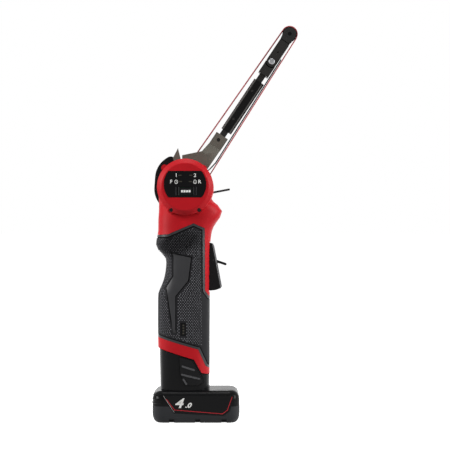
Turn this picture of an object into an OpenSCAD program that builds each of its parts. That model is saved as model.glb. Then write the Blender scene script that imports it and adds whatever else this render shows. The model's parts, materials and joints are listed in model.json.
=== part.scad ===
// Cordless belt file: pivoting belt arm with a sprung tip, paddle trigger, slide-in battery.
// All sizes are in millimetres. +X is the trigger side, +Y the belt side, +Z up.
// The origin is on the standing surface, straight below the drive axis.

/* [Belt drive] */
// Length of the abrasive belt along its middle layer
belt_length = 457; // [440:1:480]
// Width of the abrasive belt
belt_width = 13; // [10:0.5:15]
// Thickness of the abrasive belt
belt_thickness = 0.9; // [0.6:0.1:1.2]
// Radius of the drive pulley
drive_radius = 12.1; // [11:0.1:13]
// Radius of the idler pulley at the tip
idler_radius = 7.5; // [7:0.1:8.5]
// Angle of the arm from upright towards the trigger side
arm_angle = 33.65; // [-20:0.05:60]
// Travel of the sprung tip
tip_travel = 7.5; // [3:0.5:9]

/* [Head] */
// Height of the drive axis above the surface
axis_height = 239; // [230:1:255]
// Radius of the head
head_radius = 28.5; // [27:0.5:30]
// Half length of the head, from the split plane to its far face
head_half = 24; // [23:0.5:27]
// Depth of the motor cap
cap_depth = 10; // [9:0.5:13]
// Width of the bevel around the cap
cap_bevel = 4.8; // [2:0.2:5]
// Radius of the control panel
panel_radius = 21.2; // [20:0.1:21.6]
// Half height of the control panel between its flats
panel_half_height = 13.2; // [11:0.1:14]
// Radius of the motor stator
stator_radius = 19.8; // [17:0.1:20.5]
// Radius of the motor shaft
shaft_radius = 2.5; // [2:0.1:3]

/* [Grip] */
// Distance from the drive axis plane back to the heel of the grip
grip_back = 28.7; // [27:0.1:31]
// Distance from the drive axis plane forward to the front of the grip
grip_front = 24.7; // [23.5:0.1:26]
// Half width of the grip
grip_half_width = 23.4; // [23:0.1:26]
// Depth of the hollow for the web of the thumb
web_depth = 8.2; // [4:0.1:9]
// How far the beak above the hollow stands out
beak_out = 2.1; // [0:0.1:4]
// How far the nose above the trigger stands out from the drive axis plane
nose_out = 36.9; // [33:0.1:40]
// Thickness of the rubber grip cover
cover_thickness = 1.8; // [1.4:0.1:2.4]
// Depth of the grooves moulded into the rubber cover
groove_depth = 0.6; // [0.3:0.1:0.9]
// Width of the grooves moulded into the rubber cover
groove_width = 0.9; // [0.5:0.1:1.2]
// Width of the plain rim along the rubber cover's edge
rim_width = 2.4; // [1.5:0.1:4]
// Squareness of the grip's section, where 2 is an ellipse
squareness = 2.7; // [2.2:0.1:4]
// Height of the housing's front lower edge above the surface
shell_edge = 48.2; // [44:0.1:52]
// Depth of the scoop for the thumb below the beak
scoop_depth = 2.2; // [0:0.1:3]

/* [Trigger] */
// Half width of the paddle trigger
trigger_half_width = 8; // [6:0.5:9]
// Turn of the trigger from rest to fully pressed
trigger_turn = 9; // [4:0.5:10]
// Length of the lock-off lever's tab from its pin
lever_length = 14.2; // [10:0.1:16]

/* [Battery] */
// Length of the battery foot
foot_length = 88.8; // [84:0.1:96]
// Width of the battery foot
foot_width = 59; // [58:0.5:66]
// Height of the battery foot
foot_height = 33; // [31:0.5:36]
// Radius of one battery cell
cell_radius = 9.2; // [8.5:0.1:9.3]
// Length of one battery cell
cell_length = 65; // [60:0.5:66]
// Travel of the release latches
latch_travel = 1.1; // [0.5:0.1:1.3]

/* [Fits] */
// Radial clearance of shafts and pins that turn
run_gap = 0.05; // [0.02:0.01:0.1]
// Clearance between pieces that are seated in each other
seat_gap = 0.2; // [0.1:0.05:0.3]
// Clearance around pieces that slide or swing
move_gap = 0.4; // [0.3:0.05:0.6]

/* [Hidden] */
$fn = 64;
half_points = 18;

// Belt path: the centre distance follows from the belt length and the two middle radii
belt_gap = 0.2;
drive_mid = drive_radius + belt_gap + belt_thickness / 2;
idler_mid = idler_radius + belt_gap + belt_thickness / 2;
straight_sum = belt_length - PI * (drive_mid + idler_mid);
radius_step = drive_mid - idler_mid;
centres = (straight_sum + sqrt(pow(straight_sum, 2) - 8 * pow(radius_step, 2))) / 4;

// Stack of the head along Y
cap_face = -head_half - cap_depth;
plate_near = head_half - 6;
bracket_near = head_half + 0.3;
bracket_thick = 3;
bracket_far = bracket_near + bracket_thick;
collar_end = bracket_far + 0.1;
belt_near = bracket_far + 8.2;
belt_far = belt_near + belt_width;
belt_mid = (belt_near + belt_far) / 2;
guard_far = belt_far + 1.5;
cover_far = guard_far + 2.2;
collar_radius = 17;
nose_radius = 14;
bearing_radius = 8;
rear_bearing_radius = 6.5;

// Battery stem and its socket
stem_x = -2;
cell_pitch = 2 * cell_radius + 0.3;
cell_ring = cell_pitch / sqrt(3);
stem_cell_base = foot_height + 3;
stem_top = stem_cell_base + cell_length + 3.5;
stem_corner = cell_radius + seat_gap + 1.2;
socket_top = stem_top + 8;

// Heights of the grip's features
web_z = axis_height - 78;
beak_z = axis_height - 57.7;
nose_z = axis_height - 25.2;
loft_top = axis_height - 5;
loft_bottom = shell_edge - 2;

// Trigger
trigger_x = 18;
trigger_z = socket_top + 0.5178 * (axis_height - socket_top);
lever_x = trigger_x + 10.4;
lever_z = trigger_z - 13.6;
lever_droop = 19;
lever_turn = 35;
trigger_back = trigger_x + 1.8;
trigger_sweep = 46 * sin(trigger_turn);
switch_front = trigger_back - trigger_sweep - 2;
switch_low = (socket_top + trigger_z) / 2 - 7.25;
strip_end = trigger_z - 50.2;

foot_heel = 4.9;
foot_middle = foot_length / 2 - grip_back - foot_heel;
foot_split = foot_height / 2 + 0.5;
// Shoulder of the foot as [drop below its top, inset]
shoulder = [[9, 0.2], [5.6, 0.9], [2.8, 2.4], [0.9, 5], [0, 8.6]];
// Ribs around the foot's heel as [height, inset of the crest]
heel_ribs = [[20.2, -0.6], [24.2, -0.4], [28, 0.5]];
heel_rib_reach = 9;

// Arm pieces, measured along the arm from the drive axis
arm_end = 67.2;
arm_floor = belt_mid - 3.6;
bracket_rivet = [-0.7, 61.2];
channel_start = 73.5;
socket_end = centres - 51;
channel_end = socket_end - tip_travel - 1;
rod_pin = [0.2, channel_end - 12.3];
rod_start = channel_end - 21;
rail_start = 48;
rail_end = rod_start - 20;
rail_rivet = [0.2, rail_end - 7];
fork_pivot = [0.4, centres - 34.8];
fork_end = centres - idler_radius - 2.3;
tip_front = idler_radius - 1.3;
tip_back = idler_radius - 2.3;
spring_turns = 6;

// Scoop for the thumb in side view: its middle, tilt and half size
scoop_place = [-6, beak_z + 2.7];
scoop_tilt = 26;
scoop_half = [18, 10];

// Outlines in side view, as [x, z]
back_profile = [
  [loft_bottom, grip_back - 1.4],
  [loft_bottom + 30, grip_back],
  [web_z - 36, grip_back],
  [web_z - 30, grip_back - 0.06 * web_depth],
  [web_z - 18, grip_back - 0.66 * web_depth],
  [web_z - 6, grip_back - 0.97 * web_depth],
  [web_z + 6, grip_back - 0.94 * web_depth],
  [web_z + 12.6, grip_back - 0.24 * web_depth],
  [beak_z - 4.4, grip_back + 0.5 * beak_out],
  [beak_z, grip_back + beak_out],
  [beak_z + 6.5, grip_back + 0.5 * beak_out],
  [beak_z + 12, grip_back - 0.1],
  [axis_height - 33, head_radius - 0.1],
  [axis_height - 22, head_radius - 0.8],
  [loft_top, head_radius - 0.5]
];
front_profile = [
  [loft_bottom, grip_front - 0.1],
  [nose_z - 50, grip_front],
  [nose_z - 34, grip_front + 0.5],
  [nose_z - 25, grip_front + 1.2],
  [nose_z - 16.5, grip_front + 3.2],
  [nose_z - 9, grip_front + 8],
  [nose_z - 3, nose_out - 0.3],
  [nose_z + 3, nose_out - 0.1],
  [nose_z + 8, nose_out - 5],
  [axis_height - 11, head_radius - 4.6],
  [loft_top, head_radius - 5]
];
width_profile = [
  [loft_bottom, grip_half_width - 0.3],
  [(loft_bottom + web_z) / 2 - 17.8, grip_half_width],
  [web_z - 40, grip_half_width],
  [web_z, grip_half_width - 1.8],
  [beak_z, grip_half_width - 1],
  [axis_height - 40, grip_half_width - 1.6],
  [loft_top, grip_half_width - 1.9]
];
shell_line = [
  [-60, shell_edge + 37],
  [-28.4, shell_edge + 27.1],
  [8.8, shell_edge + 15.5],
  [16.5, shell_edge + 1.6],
  [24.7, shell_edge],
  [80, shell_edge]
];
cover_line = [
  [-60, axis_height - 50.4],
  [-17.9, axis_height - 48],
  [8.4, axis_height - 36.8],
  [19.7, axis_height - 41.9],
  [20.1, strip_end + 5.8],
  [24.2, strip_end],
  [80, strip_end],
  [80, shell_edge + 5.6],
  [24.7, shell_edge + 5.6],
  [20.4, shell_edge + 8.6],
  [13, shell_edge + 25.6],
  [-28.4, shell_edge + 37.9],
  [-60, shell_edge + 47.8]
];
palm_line = [
  [-15, web_z + 11.5],
  [6.8, web_z + 6.9],
  [3.7, web_z - 17.4],
  [-9.2, web_z - 33.2],
  [-9.2, shell_edge + 42.4],
  [-13, shell_edge + 42.4],
  [-18.3, web_z - 36.3],
  [-20.2, web_z - 24],
  [-13.1, web_z - 12.4],
  [-13.1, web_z + 7.9]
];
latch_line = [
  [-6, shell_edge + 18.3],
  [7.4, shell_edge + 14.2],
  [17, shell_edge - 3.4],
  [18.4, shell_edge - 7.4],
  [13, shell_edge - 10.6],
  [0, shell_edge - 10.6],
  [-5.4, shell_edge + 2]
];
gauge_low = [-5, shell_edge + 39.5];
gauge_high = [0.4, shell_edge + 53.1];
latch_ridges = [
  [[-2.8, shell_edge + 8.8], [9, shell_edge + 5]],
  [[-3.4, shell_edge + 0.5], [14.2, shell_edge - 3.9]],
  [[-1.8, shell_edge - 4.6], [1, shell_edge - 9]]
];

// Screw places as [x, z] from the drive axis, or [x, z] from the surface
cap_screw_places = [for (turn = [239, 301]) 27.4 * [cos(turn), sin(turn)]];
cap_screw_boss = 3.6;
// Plain lugs on the cap as [x, z] from the drive axis and a radius
cap_lugs = [[28 * [cos(137.5), sin(137.5)], 3.6], [27 * [cos(45), sin(45)], 2.6]];
panel_place = [0, 2.5];
housing_screw_places = [
  [-22, axis_height - 43],
  [27, axis_height - 27],
  [7.7 - smooth(back_profile, socket_top + 13), socket_top + 13],
  [17, socket_top + 5.6]
];
housing_screw_head = 10;
battery_screw_out = (cell_length + foot_length) / 4;
battery_screw_places = [for (x = [-1, 1], y = [-15, 15]) [foot_middle + x * battery_screw_out, y]];
stem_cell_places = [
  [stem_x + cell_ring, 0],
  [stem_x - cell_ring / 2, cell_pitch / 2],
  [stem_x - cell_ring / 2, -cell_pitch / 2]
];
lamp_places = [[-5, 11.5], [5.8, 11.5], [-4.6, 5.2], [5.4, 5.2]];
button_place = [0.8, -4.6];
button_half = [6.6, 3.4];
guard_middle = [-7.6, 6.9];
guard_radius = 28.3;
// Round lobes that the guard's outline wraps, as [x, z] on the arm and a radius
guard_lobes = [[guard_middle, guard_radius], [[-12.2, 4], 25.2], [[-7.7, -6.2], 24.1]];
guard_wall = 2.4;
guard_cut = 19.5;
guard_corner = 6;
guard_bore = 20.7;
cover_screw_place = [-26, 2];
guard_screw_places = [for (turn = [138, 157, 215]) 23.5 * [cos(turn), sin(turn)]];
flap_start = [25, 11.4];
flap_end = [37.7, 23.8];
ring_screw_places = [for (turn = [30, 150, 270]) 15.5 * [cos(turn), sin(turn)]];

// Smooth curve through a table of [place, value] pairs
function span(table, at) =
  max([for (i = [0:len(table) - 2]) at >= table[i][0] ? i : 0]);
function grade(table, i) =
  let (a = max(i - 1, 0), b = min(i + 1, len(table) - 1))
  (table[b][1] - table[a][1]) / (table[b][0] - table[a][0]);
function smooth(table, at) =
  let (
    i = span(table, at),
    step = table[i + 1][0] - table[i][0],
    s = (at - table[i][0]) / step,
    start = grade(table, i) * step,
    end = grade(table, i + 1) * step
  )
  (2 * pow(s, 3) - 3 * pow(s, 2) + 1) * table[i][1] + (pow(s, 3) - 2 * pow(s, 2) + s) * start
  + (3 * pow(s, 2) - 2 * pow(s, 3)) * table[i + 1][1] + (pow(s, 3) - pow(s, 2)) * end;

// One point of a squared oval at a given turn
function bulge(c, n) = sign(c) * pow(abs(c), 2 / n);
function oval(turn, back, front, half, z, n) =
  [(front - back) / 2 + (front + back) / 2 * bulge(cos(turn), n), half * bulge(sin(turn), n), z];

// Depth of the thumb scoop at a side-view place
function scoop(x, z) =
  let (
    dx = x - scoop_place[0],
    dz = z - scoop_place[1],
    along = (dx * cos(scoop_tilt) + dz * sin(scoop_tilt)) / scoop_half[0],
    across = (dz * cos(scoop_tilt) - dx * sin(scoop_tilt)) / scoop_half[1]
  )
  scoop_depth * pow(max(0, 1 - pow(along, 2) - pow(across, 2)), 2);

// Section of the grip at height z, pulled in by inset
function grip_oval(turn, z, inset) =
  let (
    point = oval(
      turn, smooth(back_profile, z) - inset, smooth(front_profile, z) - inset,
      smooth(width_profile, z) - inset, z, squareness
    )
  )
  point - [0, min(point[1], scoop(point[0], z)), 0];

// Section of the battery's neck at height z, pulled in by inset
function neck_oval(turn, z, inset) =
  let (
    rise = (z - foot_height) / (shell_edge + 27 - foot_height),
    back = grip_back - 2.6 + min(max(rise, 0), 1)
  )
  oval(turn, back - inset, grip_front - 0.3 - inset, grip_half_width - 0.6 - inset, z, squareness + 0.5);

// Solid through a stack of rings with the same number of points, lowest ring first
module loft(rings) {
  n = len(rings[0]);
  last = len(rings) - 1;
  polyhedron(
    [for (ring = rings) each ring],
    concat(
      [[for (i = [0:n - 1]) i]],
      [for (k = [0:last - 1], i = [0:n - 1]) [k * n + i, (k + 1) * n + i, (k + 1) * n + (i + 1) % n]],
      [for (k = [0:last - 1], i = [0:n - 1]) [k * n + i, (k + 1) * n + (i + 1) % n, k * n + (i + 1) % n]],
      [[for (i = [0:n - 1]) last * n + n - 1 - i]]
    )
  );
}
function levels(low, high, count) = [for (k = [0:count]) low + (high - low) * k / count];

// Heights of the grip's sections, closest where its form turns
function grip_levels(lower, middle, upper) =
  concat(
    levels(loft_bottom, web_z - 46, lower),
    levels(web_z - 40, beak_z + 22, middle),
    levels(beak_z + 27, loft_top, upper)
  );
skin_levels = grip_levels(6, 18, 4);
core_levels = grip_levels(2, 11, 2);

// Belt-side half of the grip, flat on the split plane
module grip_half(inset, heights = skin_levels) {
  loft([
    for (z = heights)
    [for (i = [0:half_points]) grip_oval(180 * i / half_points, z, inset)]
  ]);
}

// Belt-side half of the grip with its flat face past the split plane, for cutting away
module grip_core(inset) {
  loft([
    for (z = core_levels)
    concat(
      [grip_oval(0, z, inset) - [0, 1, 0]],
      [for (i = [1:half_points - 1]) grip_oval(180 * i / half_points, z, inset)],
      [grip_oval(180, z, inset) - [0, 1, 0]]
    )
  ]);
}

// Battery neck below the housing
module neck_whole(inset, low, high) {
  loft([
    for (z = levels(low, high, 3))
    [for (i = [0:2 * half_points - 1]) neck_oval(180 * (i + 0.5) / half_points, z, inset)]
  ]);
}

// Rounded rectangle ring of the battery foot
function foot_ring(z, inset) =
  let (r = 11 - inset)
  [
    for (corner = [[1, 1, 0], [-1, 1, 90], [-1, -1, 180], [1, -1, 270]], turn = [0:15:90])
    [
      foot_middle + corner[0] * (foot_length / 2 - inset - r) + r * cos(corner[2] + turn),
      corner[1] * (foot_width / 2 - inset - r) + r * sin(corner[2] + turn),
      z
    ]
  ];

// Distance from the arm's middle line to the inside of the belt, at a place along the arm
function belt_inside(along) = drive_mid - radius_step * along / centres - belt_thickness / 2;

// Coil spring along +Z from the origin
module coil(radius, wire, turns, height) {
  sides = 6;
  steps = turns * 10;
  echo("least gap between coils", (height - wire * 2) / turns - wire * 2);
  rise = height - 2 * wire;
  loft([
    for (k = [0:steps])
    [
      for (i = [0:sides - 1])
      let (turn = 36 * k, reach = radius + wire * cos(360 * i / sides))
      [reach * cos(turn), -reach * sin(turn), wire + rise * k / steps + wire * sin(360 * i / sides)]
    ]
  ]);
}

// Side-view outline from y0 to y1
module slab(y0, y1) {
  translate([0, y1, 0])
    rotate([90, 0, 0])
      linear_extrude(y1 - y0)
        children();
}

// Round bar along Y at a side-view place
module bar(place, r, y0, y1) {
  translate([place[0], y0, place[1]])
    rotate([-90, 0, 0])
      cylinder(r = r, h = y1 - y0);
}

// Block between low and high corners
module block(low, high) {
  translate(low)
    cube(high - low);
}

module at_head() {
  translate([0, 0, axis_height])
    children();
}

// Frame of the arm: X across the arm towards the working run, Z along the arm
module at_arm() {
  at_head()
    rotate([0, arm_angle, 0])
      children();
}

// Strip of even thickness along a path
module strip(path, thickness) {
  for (i = [0:len(path) - 2])
    hull() {
      translate(path[i])
        circle(thickness / 2, $fn = 16);
      translate(path[i + 1])
        circle(thickness / 2, $fn = 16);
    }
}

module soft_rectangle(low, high, r) {
  offset(r, $fn = 24)
    translate([low[0] + r, low[1] + r])
      square([high[0] - low[0] - 2 * r, high[1] - low[1] - 2 * r]);
}

// Housing

module shell_region(drop) {
  polygon(concat(
    [for (p = shell_line) [p[0], p[1] - drop]],
    [[80, 400], [-60, 400]]
  ));
}

module stem_shape(gap, z0, z1) {
  hull()
    for (place = stem_cell_places)
      translate([place[0], place[1], z0])
        cylinder(r = stem_corner + gap, h = z1 - z0, $fn = 40);
}

module housing_form() {
  intersection() {
    grip_half(cover_thickness, core_levels);
    slab(-60, 60)
      shell_region(0);
  }
  intersection() {
    grip_half(0);
    slab(-60, 60)
      difference() {
        shell_region(0);
        polygon(cover_line);
      }
  }
  bar([0, axis_height], head_radius, 0, head_half);
}

// Hollows that both halves share
module housing_hollows() {
  bar([0, axis_height], stator_radius + seat_gap, -head_half - 1, plate_near);
  stem_shape(move_gap, shell_edge - 10, socket_top);
  block([-4, -6.5, socket_top - 1], [4, 6.5, socket_top + 13]);
  block(
    [-10, -trigger_half_width - 0.6, socket_top + 11.5],
    [trigger_x - 2, trigger_half_width + 0.6, trigger_z + 9]
  );
  block([-17, -10.4, trigger_z + 8.8], [15, 10.4, axis_height - 30.4]);
  block(
    [switch_front + 0.6, -trigger_half_width - 0.5, trigger_z - 46.4],
    [nose_out + 20, trigger_half_width + 0.5, trigger_z + 5.2]
  );
  bar([trigger_x, trigger_z], 1.5 + run_gap, -trigger_half_width - 4, trigger_half_width + 4);
}

module housing_right() {
  color("firebrick")
    difference() {
      union() {
        mirror([0, 1, 0])
          housing_form();
        at_head() {
          for (place = cap_screw_places)
            bar(place, cap_screw_boss, -head_half, -10);
          for (lug = cap_lugs)
            bar(lug[0], lug[1], -head_half, -10);
        }
      }
      housing_hollows();
      at_head()
        for (place = cap_screw_places)
          bar(place, 1.25, -head_half - 1, -11);
      for (place = housing_screw_places)
        bar(place, 1.5, -11.5, 1);
    }
}

module housing_left() {
  color("firebrick")
    difference() {
      housing_form();
      housing_hollows();
      bar([0, axis_height], 24 + seat_gap, plate_near, head_half + 1);
      for (place = housing_screw_places) {
        bar(place, 1.6, -1, housing_screw_head + 1);
        bar(place, 3.1, housing_screw_head, 60);
      }
    }
}

// Band along an outline, from one distance inside it to another
module edge_band(outline, near, far) {
  difference() {
    offset(delta = -near)
      polygon(outline);
    offset(delta = -far)
      polygon(outline);
  }
}

module grip_skin() {
  difference() {
    intersection() {
      grip_half(0);
      slab(-60, 60)
        offset(delta = -seat_gap)
          polygon(cover_line);
    }
    grip_core(cover_thickness - seat_gap);
    difference() {
      slab(0, 60) {
        edge_band(cover_line, rim_width, rim_width + groove_width);
        edge_band(palm_line, 0, groove_width);
      }
      grip_half(groove_depth);
    }
  }
}

module grip_right() {
  color("dimgray")
    difference() {
      mirror([0, 1, 0])
        grip_skin();
      block([gauge_low[0], -60, gauge_low[1]], [gauge_high[0], 0, gauge_high[1]]);
    }
}

module grip_left() {
  color("dimgray")
    difference() {
      grip_skin();
      for (place = housing_screw_places)
        bar(place, 3.4, 0, 60);
    }
}

module fuel_gauge() {
  face = smooth(width_profile, (gauge_low[1] + gauge_high[1]) / 2);
  color("black")
    block(
      [gauge_low[0] + run_gap, -face + groove_depth, gauge_low[1] + run_gap],
      [gauge_high[0] - run_gap, -face + cover_thickness - 0.05, gauge_high[1] - run_gap]
    );
}

module housing_screws() {
  color("silver")
    for (place = housing_screw_places) {
      bar(place, 1.45, -11, housing_screw_head + 1);
      difference() {
        bar(place, 2.8, housing_screw_head, housing_screw_head + 2);
        bar(place, 1.2, housing_screw_head + 1, housing_screw_head + 3);
      }
    }
}

// Head

module panel_shape(gap) {
  translate(panel_place)
    intersection() {
      circle(panel_radius + gap);
      square([4 * panel_radius, 2 * (panel_half_height + gap)], center = true);
    }
}

module motor_cap() {
  color("firebrick")
    at_head()
      difference() {
        union() {
          rotate([90, 0, 0])
            rotate_extrude()
              polygon([
                [0, head_half],
                [head_radius, head_half],
                [head_radius, head_half + cap_depth - cap_bevel],
                [head_radius - cap_bevel + 0.6, head_half + cap_depth - 0.6],
                [head_radius - cap_bevel - 0.6, head_half + cap_depth],
                [0, head_half + cap_depth]
              ]);
          for (place = cap_screw_places)
            bar(place, cap_screw_boss, -head_half - 4.6, -head_half);
          for (lug = cap_lugs)
            bar(lug[0], lug[1], -head_half - 5.4, -head_half);
          bar([0, 0], rear_bearing_radius + 3, -head_half - 1, -head_half + 4);
        }
        bar([0, 0], panel_radius + 1, cap_face + 2.2, -head_half - 2);
        slab(cap_face - 1, cap_face + 3)
          panel_shape(seat_gap);
        bar([0, 0], rear_bearing_radius + 0.03, -head_half, -head_half + 5);
        for (place = cap_screw_places) {
          bar(place, 1.5, -head_half - 9, -head_half + 1);
          bar(place, 2, cap_face - 1, -head_half - 3);
        }
      }
}

module cap_screws() {
  color("silver")
    at_head()
      for (place = cap_screw_places) {
        bar(place, 1.2, -head_half - 3.2, -13);
        difference() {
          bar(place, 1.8, -head_half - 4.5, -head_half - 3);
          bar(place, 0.9, -head_half - 5, -head_half - 3.7);
        }
      }
}

module control_panel() {
  color("black")
    at_head()
      difference() {
        slab(cap_face - 0.3, cap_face + 2.4)
          panel_shape(0);
        slab(cap_face - 1, cap_face + 3)
          translate(button_place)
            soft_rectangle(-button_half - [0.4, 0.4], button_half + [0.4, 0.4], 0.8);
        slab(cap_face - 1, cap_face + 0.3)
          translate(button_place)
            soft_rectangle(-button_half - [3.2, 1], button_half + [3.2, 1], 1.2);
        for (place = lamp_places)
          translate([place[0], 0, place[1]])
            block([-1.8, cap_face - 1, -0.7], [1.8, cap_face + 3, 0.7]);
      }
}

module indicator_lenses() {
  color("gainsboro")
    at_head()
      for (place = lamp_places)
        translate([place[0], 0, place[1]])
          block([-1.65, cap_face - 0.2, -0.55], [1.65, cap_face + 2.4, 0.55]);
}

module panel_board() {
  color("darkgreen")
    at_head()
      bar([0, 0], panel_radius + 1 - seat_gap, cap_face + 2.4, cap_face + 4);
}

module mode_button() {
  color("dimgray")
    at_head()
      slab(cap_face - 0.5, cap_face + 1.7)
        translate(button_place)
          soft_rectangle(-button_half, button_half, 0.7);
}

module motor_stator() {
  color("gray")
    at_head()
      slab(-14, 8)
        difference() {
          circle(stator_radius);
          circle(stator_radius * 0.59);
          for (turn = [30:60:359])
            rotate(turn)
              translate([stator_radius * 0.55, -2.4])
                square([stator_radius * 0.29, 4.8]);
        }
}

module rear_bearing() {
  color("silver")
    at_head()
      difference() {
        bar([0, 0], rear_bearing_radius, -head_half, -head_half + 4);
        bar([0, 0], shaft_radius + run_gap, -head_half - 1, -head_half + 5);
      }
}

module front_bearing() {
  color("silver")
    at_head()
      difference() {
        bar([0, 0], bearing_radius, plate_near + 3, plate_near + 8);
        bar([0, 0], shaft_radius + run_gap, plate_near, plate_near + 9);
      }
}

module front_plate() {
  color("lightgray")
    at_head()
      difference() {
        union() {
          bar([0, 0], 24, plate_near, head_half);
          bar([0, 0], collar_radius, head_half - 1, collar_end);
          bar([0, 0], nose_radius, head_half - 1, collar_end + 1.9);
        }
        bar([0, 0], bearing_radius + 0.03, plate_near + 3, collar_end + 4);
        bar([0, 0], bearing_radius - 2, plate_near - 1, plate_near + 4);
        for (place = ring_screw_places)
          bar(place, 1.25, plate_near + 2, collar_end + 1);
      }
}

module arm_retaining_ring() {
  color("silver")
    at_head()
      difference() {
        bar([0, 0], 20.2, collar_end, collar_end + 2);
        bar([0, 0], nose_radius + run_gap, collar_end - 1, collar_end + 3);
        for (place = ring_screw_places)
          bar(place, 1.25, collar_end - 1, collar_end + 3);
      }
}

module retaining_screws() {
  color("silver")
    at_head()
      for (place = ring_screw_places) {
        bar(place, 1.2, plate_near + 3, collar_end + 2.1);
        bar(place, 2.1, collar_end + 2, collar_end + 3.2);
      }
}

module motor_rotor() {
  color("dimgray")
    at_head()
      difference() {
        bar([0, 0], stator_radius * 0.56, -15, 9);
        bar([0, 0], shaft_radius + 0.02, -16, 10);
      }
}

module motor_shaft() {
  color("silver")
    at_head()
      bar([0, 0], shaft_radius, -head_half + 0.3, belt_far - 0.2);
}

module cooling_fan() {
  color("black")
    at_head()
      difference() {
        union() {
          bar([0, 0], 5, 9.5, plate_near - 1.5);
          bar([0, 0], 16.5, 9.5, 11);
          for (turn = [0:40:359])
            rotate([0, turn, 0])
              block([4, 10.5, -0.7], [16, plate_near - 1.5, 0.7]);
        }
        bar([0, 0], shaft_radius + 0.02, 9, plate_near);
      }
}

module drive_pulley() {
  low = belt_near - 0.2;
  high = belt_far + 0.2;
  color("silver")
    at_head()
      rotate([-90, 0, 0])
        difference() {
          rotate_extrude()
            polygon([
              [shaft_radius + 0.02, plate_near + 8.2],
              [4, plate_near + 8.2],
              [4, low],
              [drive_radius - 0.25, low],
              [drive_radius, low + belt_width * 0.4],
              [drive_radius, high - belt_width * 0.4],
              [drive_radius - 0.25, high],
              [6.5, high],
              [6.5, high - 4],
              [shaft_radius + 0.02, high - 4]
            ]);
          for (turn = [0:60:359])
            rotate(turn)
              translate([9.2, 0, low - 1])
                cylinder(r = 1.4, h = 4);
        }
}

module pulley_nut() {
  color("silver")
    at_head()
      difference() {
        translate([0, belt_far - 3.8, 0])
          rotate([-90, 0, 0])
            cylinder(r = 4.6, h = 3.4, $fn = 6);
        bar([0, 0], shaft_radius + 0.02, belt_near, belt_far + 1);
      }
}

// Inside the grip

module control_module() {
  color("darkslategray")
    block([-17 + seat_gap, -10.2, trigger_z + 9], [15 - seat_gap, 10.2, axis_height - 30.6]);
}

module trigger_switch() {
  color("black")
    difference() {
      block(
        [-8, -trigger_half_width - 0.4, switch_low],
        [switch_front, trigger_half_width + 0.4, trigger_z - 8]
      );
      block([0, -4.4, trigger_z - 28.4], [switch_front + 1, 4.4, trigger_z - 21.6]);
    }
}

module switch_plunger() {
  color("gray")
    block([5, -4, trigger_z - 28], [trigger_back - 0.4, 4, trigger_z - 22]);
}

module power_leads() {
  color("crimson")
    for (y = [-4, 4])
      translate([0, y, socket_top - 0.2])
        cylinder(r = 1.5, h = switch_low - socket_top + 0.2);
}

module terminal_block() {
  color("black")
    difference() {
      stem_shape(move_gap - seat_gap, socket_top - 6.8, socket_top - 0.2);
      for (y = [-6, 6])
        block([stem_x - 4.4, y - 1, socket_top - 7.5], [stem_x + 4.4, y + 1, socket_top - 2.5]);
    }
}

// Trigger

module trigger_pin() {
  color("silver")
    bar([trigger_x, trigger_z], 1.5, -trigger_half_width - 3.5, trigger_half_width + 3.5);
}

module trigger() {
  color("black")
    difference() {
      intersection() {
        translate([0, 0, trigger_z])
          slab(-trigger_half_width, trigger_half_width)
            polygon([
              [15, 3.4], [25.2, 4.2], [28, 3.2], [29.6, -0.3], [35.7, -32.2], [37.2, -38.6],
              [37.1, -40.6], [35.6, -42.4], [31, -44.2], [25.9, -44.8], [trigger_back, -44.4],
              [trigger_back, -8],
              [15, -4]
            ]);
        translate([0, 0, trigger_z - 60])
          multmatrix([[1, 0, -0.19, 11.4], [0, 1, 0, 0], [0, 0, 1, 0], [0, 0, 0, 1]])
            linear_extrude(80)
              soft_rectangle([0, -trigger_half_width], [29.4, trigger_half_width], 3);
      }
      bar([trigger_x, trigger_z], 1.5 + run_gap, -20, 20);
      bar([lever_x, lever_z], 1.02, -20, 20);
      block(
        [lever_x - 3.6, -3.6, lever_z - (lever_length + 1) * sin(lever_droop + lever_turn) - 2],
        [60, 3.6, lever_z + 4.4]
      );
    }
}

module lock_lever_pin() {
  color("silver")
    bar([lever_x, lever_z], 1, -trigger_half_width + 0.1, trigger_half_width - 0.1);
}

module lock_lever() {
  color("black")
    difference() {
      union() {
        bar([lever_x, lever_z], 2.7, -3.2, 3.2);
        translate([lever_x, 0, lever_z])
          rotate([0, lever_droop, 0])
            slab(-3.2, 3.2)
              strip([[2.6, 0], [lever_length - 1.2, 0]], 2.4);
      }
      bar([lever_x, lever_z], 1 + run_gap, -4, 4);
    }
}

// Arm

module arm_bracket() {
  color("gray")
    at_arm()
      difference() {
        union() {
          slab(bracket_near, bracket_far) {
            circle(26);
            polygon([
              [-20.3, 22.3], [-23, 26.2], [-8.2, 41], [-2.9, 41], [7.2, 30.8], [7.2, 10], [-12, 10]
            ]);
            polygon([[-30.7, 29.9], [-29.4, 18.4], [-16, 6], [-14, 16], [-22.4, 22.4]]);
          }
          hull() {
            slab(bracket_near, bracket_far)
              polygon([[-8.2, 40], [-8.2, 41], [-2.9, 41], [7.2, 30.8], [7.2, 29.4]]);
            slab(arm_floor - 1.8, arm_floor)
              polygon([[-6.9, 53], [7.1, 53], [7.1, 52], [-6.9, 52]]);
          }
          block([-6.9, arm_floor - 1.8, 52], [7.1, belt_mid + 4.8, arm_end]);
        }
        bar([0, 0], collar_radius + run_gap, 0, 60);
        block([-4.6, arm_floor, 40], [4.8, 80, arm_end + 1]);
        bar(bracket_rivet, 1.9, 0, 60);
        for (place = guard_screw_places)
          bar(place, 1.15, bracket_near - 1, bracket_far + 1);
      }
}

module arm_rail() {
  color("darkslategray")
    at_arm()
      difference() {
        block([-3.2, belt_mid - 3.4, rail_start], [3.6, belt_mid + 3.4, rail_end]);
        bar(bracket_rivet, 1.9, 0, 80);
        bar(rail_rivet, 1.25, 0, 80);
      }
}

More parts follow.
